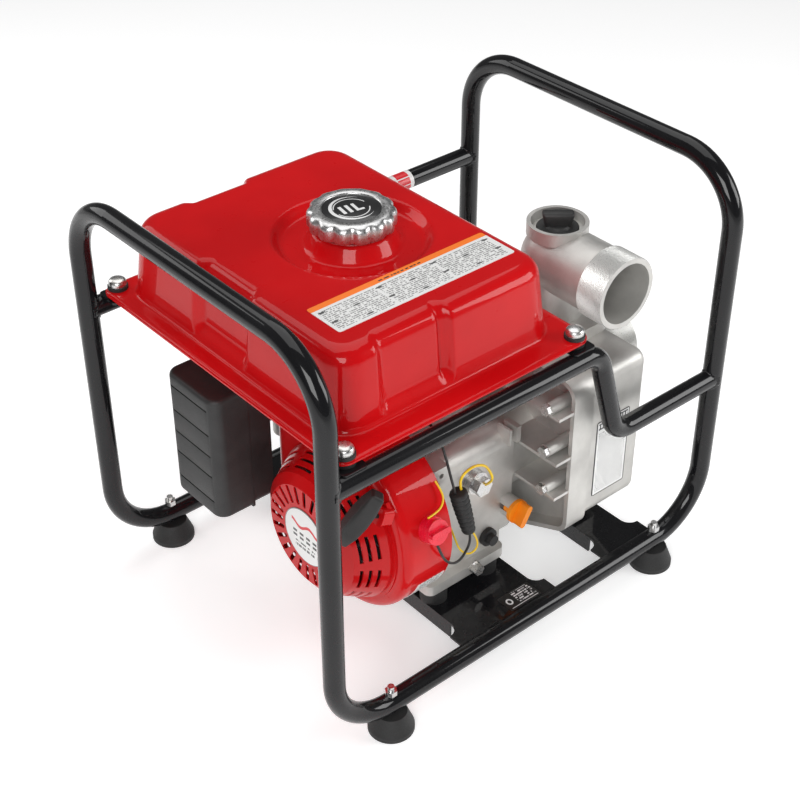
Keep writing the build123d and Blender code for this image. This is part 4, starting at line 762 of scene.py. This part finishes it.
# priming plug: a broad flared wing on a round flange
primingPlug = {"size": (0.040, 0.015, 0.023), "turn": -40.5, "flange": 0.0255, "height": 0.024}


def buildPrimingPlug():
    top = corner("priming_cap", False).z
    hub = middle("priming_cap")
    seat = top - primingPlug["height"]
    rings = [(primingPlug["flange"] - 0.001, 0.0), (primingPlug["flange"], 0.0010),
             (primingPlug["flange"], 0.0038), (primingPlug["flange"] - 0.0012, 0.0050),
             (0.0165, 0.0056), (0.0140, 0.0085)]
    flange = turned("plugFlange", (hub.x, hub.y, seat), (0, 0, 1), rings)
    wide, thick, tall = primingPlug["size"]
    wing = newBlock("plugWing", (-wide / 2, -thick / 2, 0.0), (wide / 2, thick / 2, tall))
    pick(wing, "VERT", lambda spot, vert: spot.z < 0.001)
    bpy.ops.transform.resize(value=(0.72, 1.15, 1.0), center_override=(0, 0, 0))
    objectMode()
    bevelAll(wing, 0.0045, 4, angle=50)
    turn = Matrix.Rotation(math.radians(primingPlug["turn"]), 4, "Z")
    wing.matrix_world = Matrix.Translation(Vector((hub.x, hub.y, top - tall))) @ turn
    choose(wing)
    settle("plugWing")
    plug = joined("primingPlug", [flange, wing])
    complete(plug, blackPlastic, body="priming_cap", replaced=["priming_cap"], angle=40)


# screwed ends of the two pump ports
ports = [
    # name, its open end, which way its axis runs inwards, length
    ("dischargeThread", (0.166, -0.187, 0.4125), (0, 1, 0), 0.037),
    ("suctionThread", (0.280, -0.073, 0.252), (-1, 0, 0), 0.060),
]
thread = {"crest": 0.0451, "root": 0.0441, "pitch": 0.0023, "bore": 0.0436, "setBack": 0.0003}


def buildThreads():
    for name, end, axis, length in ports:
        rings = [(thread["root"], 0.0)]
        for turn in range(int(length / thread["pitch"])):
            rings.append((thread["crest"], (turn + 0.5) * thread["pitch"]))
            rings.append((thread["root"], (turn + 1.0) * thread["pitch"]))
        start = Vector(end) + Vector(axis) * thread["setBack"]
        sleeve = turned(name, start, axis, rings, 96)
        core = newRound("core", start - Vector(axis) * 0.01, axis, 0.09, thread["bore"], sides=96)
        cut(sleeve, core)
        complete(sleeve, machined, angle=30)


buildPrimingPlug()
buildThreads()
print("stage: priming plug and threads")


# air cleaner cover with pressed lines across its face
cleaner = {"edge": 0.016, "lines": (0.196, 0.232, 0.262, 0.292, 0.326), "groove": 0.0014, "lip": 0.004}


def buildAirCleaner():
    low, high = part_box("air_cleaner_cover")
    shell = newBlock("airCleanerCover", low, high)
    bevel(shell, lambda spot, edge: upright(edge) and spot.x < low.x + 0.001, cleaner["edge"], 8)
    bevel(shell, lambda spot, edge: not upright(edge) and spot.x < high.x - 0.001
          and (spot.z > high.z - 0.001 or spot.z < low.z + 0.001), 0.006, 4)
    for height in cleaner["lines"]:
        tool = newBlock("lineTool", (low.x - 0.01, low.y + 0.012, height - 0.0011),
                        (low.x + cleaner["groove"], high.y - 0.008, height + 0.0011))
        cut(shell, tool)
    lip = newBlock("lip", (high.x - cleaner["lip"], low.y, low.z), high)
    cut(shell, lip, "UNION")
    bevelAll(shell, 0.0007, 2, angle=50)
    complete(shell, blackPlastic, replaced=["air_cleaner_cover"], angle=40)


buildAirCleaner()
print("stage: air cleaner")


# starter grip, a moulded bar that narrows to its ends
grip = {"centre": (-0.215, -0.165, 0.273), "axis": (0.43, -0.35, 0.83), "size": (0.025, 0.022, 0.078)}


def buildGrip():
    wide, deep, tall = grip["size"]
    bar = newBlock("starterGrip", (-wide / 2, -deep / 2, -tall / 2), (wide / 2, deep / 2, tall / 2))
    choose(bar)
    bpy.ops.object.mode_set(mode="EDIT")
    bpy.ops.mesh.select_all(action="SELECT")
    bpy.ops.mesh.subdivide(number_cuts=3)
    objectMode()
    pick(bar, "VERT", lambda spot, vert: abs(spot.z) > 0.49 * tall)
    bpy.ops.transform.resize(value=(0.62, 0.7, 1.0), center_override=(0, 0, 0))
    objectMode()
    pick(bar, "VERT", lambda spot, vert: 0.2 * tall < abs(spot.z) < 0.3 * tall)
    bpy.ops.transform.resize(value=(0.94, 0.92, 1.0), center_override=(0, 0, 0))
    objectMode()
    bevelAll(bar, 0.003, 3, angle=40)
    turn = Vector(grip["axis"]).to_track_quat("Z", "Y").to_matrix().to_4x4()
    bar.matrix_world = Matrix.Translation(Vector(grip["centre"])) @ turn
    choose(bar)
    settle("starterGrip")
    complete(bar, blackPlastic, body="pull_grip", replaced=["pull_handle"], angle=40)


buildGrip()
print("stage: starter grip")


# corrugated boot over the wire joint
boot = {"top": (-0.076, -0.172, 0.240), "low": (-0.057, -0.172, 0.172), "radius": 0.011, "ribs": 9}


def buildBoot():
    top, low = Vector(boot["top"]), Vector(boot["low"])
    length = (low - top).length
    pitch = length / boot["ribs"]
    rings = [(0.0062, 0.0)]
    for rib in range(boot["ribs"]):
        taper = 1.0 - 0.28 * (rib / boot["ribs"]) ** 2
        for share, height in ((0.80, 0.08), (0.94, 0.24), (1.0, 0.50), (0.94, 0.76), (0.80, 0.92)):
            rings.append((boot["radius"] * taper * share, (rib + height) * pitch))
    rings.append((0.0048, length))
    sleeve = turned("wireBoot", top, low - top, rings, sides=28)
    complete(sleeve, softRubber, replaced=["wire_boot"], angle=50)


buildBoot()

# wires on the engine: route points, and length and diameter in metres
wires = [
    {"name": "switchWire", "node": "switch_wire", "finish": blackCable, "slot": "cable_black",
     "length": 0.132, "diameter": 0.0032,
     "points": [(-0.1280, -0.1934, 0.2089), (-0.1260, -0.2003, 0.1934), (-0.112, -0.195, 0.170),
                (-0.092, -0.188, 0.152), (-0.070, -0.178, 0.144), (-0.0524, -0.172, 0.1556),
                (-0.057, -0.172, 0.172)]},
    {"name": "sensorWire", "node": "sensor_wire", "finish": yellowCable, "slot": "cable_yellow",
     "length": 0.115, "diameter": 0.0032,
     "points": [(-0.0712, -0.172, 0.2413), (-0.0758, -0.172, 0.2577), (-0.058, -0.1735, 0.268),
                (-0.039, -0.174, 0.262), (-0.027, -0.172, 0.246), (-0.020, -0.1725, 0.227),
                (-0.018, -0.157, 0.211)]},
    {"name": "engineLead", "node": "engine_lead", "finish": blackCable, "slot": "cable_black",
     "length": 0.188, "diameter": 0.0032,
     "points": [(-0.0799, -0.172, 0.2389), (-0.0852, -0.172, 0.2582), (-0.086, -0.163, 0.284),
                (-0.082, -0.148, 0.302), (-0.078, -0.125, 0.312), (-0.076, -0.101, 0.308),
                (-0.075, -0.082, 0.294), (-0.075, -0.070, 0.274), (-0.075, -0.066, 0.2514)]},
    {"name": "switchEarth", "finish": yellowCable, "slot": "cable_yellow",
     "length": 0.052, "diameter": 0.0024,
     "points": [(-0.136, -0.189, 0.245), (-0.121, -0.187, 0.244), (-0.108, -0.182, 0.245),
                (-0.103, -0.177, 0.256), (-0.106, -0.166, 0.268)]},
    {"name": "bootLoop", "finish": yellowCable, "slot": "cable_yellow",
     "length": 0.100, "diameter": 0.0024,
     "points": [(-0.0555, -0.1745, 0.1735), (-0.046, -0.176, 0.156), (-0.045, -0.174, 0.138),
                (-0.055, -0.170, 0.132), (-0.065, -0.165, 0.142), (-0.068, -0.159, 0.160),
                (-0.068, -0.148, 0.176)]},
]


def buildWire(facts):
    curve = bpy.data.curves.new(facts["name"], "CURVE")
    curve.dimensions = "3D"
    curve.bevel_depth = facts["diameter"] / 2
    curve.bevel_resolution = 4
    curve.resolution_u = 10
    curve.use_fill_caps = True
    spline = curve.splines.new("NURBS")
    spline.points.add(len(facts["points"]) - 1)
    for point, spot in zip(spline.points, facts["points"]):
        point.co = (*spot, 1.0)
    spline.order_u = 3
    spline.use_endpoint_u = True
    wire = bpy.data.objects.new(facts["name"], curve)
    bpy.context.scene.collection.objects.link(wire)
    curve.materials.append(facts["finish"].material)
    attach(wire, "machine")
    if "node" in facts:
        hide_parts(facts["node"])


for facts in wires:
    buildWire(facts)
print("stage: boot and wires")


# weld beads where the crossbars meet the hoops
weld = {"tube": 0.0125, "bead": 0.0019, "bar": 0.0122, "height": 0.387, "dropped": 0.255}


def buildWelds():
    beads = []
    left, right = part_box("left_hoop"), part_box("right_hoop")
    hoopY = right[1].y - weld["tube"]
    for side, hoopX in ((-1, left[0].x + weld["tube"]), (1, right[1].x - weld["tube"])):
        for barY, barZ in ((-hoopY, weld["height" if side < 0 else "dropped"]), (hoopY, weld["height"])):
            bpy.ops.object.select_all(action="DESELECT")
            bpy.ops.mesh.primitive_torus_add(
                major_segments=64, minor_segments=8, major_radius=weld["bar"],
                minor_radius=weld["bead"], rotation=(0, math.pi / 2, 0))
            ring = settle("bead")
            pick(ring, "VERT", lambda spot, vert: True)
            mesh = bmesh.from_edit_mesh(ring.data)
            for vert in mesh.verts:
                spread = min(abs(vert.co.y), weld["tube"] * 0.995)
                depth = math.sqrt(weld["tube"] ** 2 - spread ** 2)
                turn = math.atan2(vert.co.z, vert.co.y)
                ripple = 1.0 + 0.02 * math.sin(19 * turn)
                vert.co.y *= ripple
                vert.co.z *= ripple
                vert.co = vert.co + Vector((hoopX - side * depth, barY, barZ))
            bmesh.update_edit_mesh(ring.data)
            objectMode()
            beads.append(ring)
    complete(joined("weldBeads", beads), blackPaint, angle=60)


buildWelds()
print("stage: weld beads")
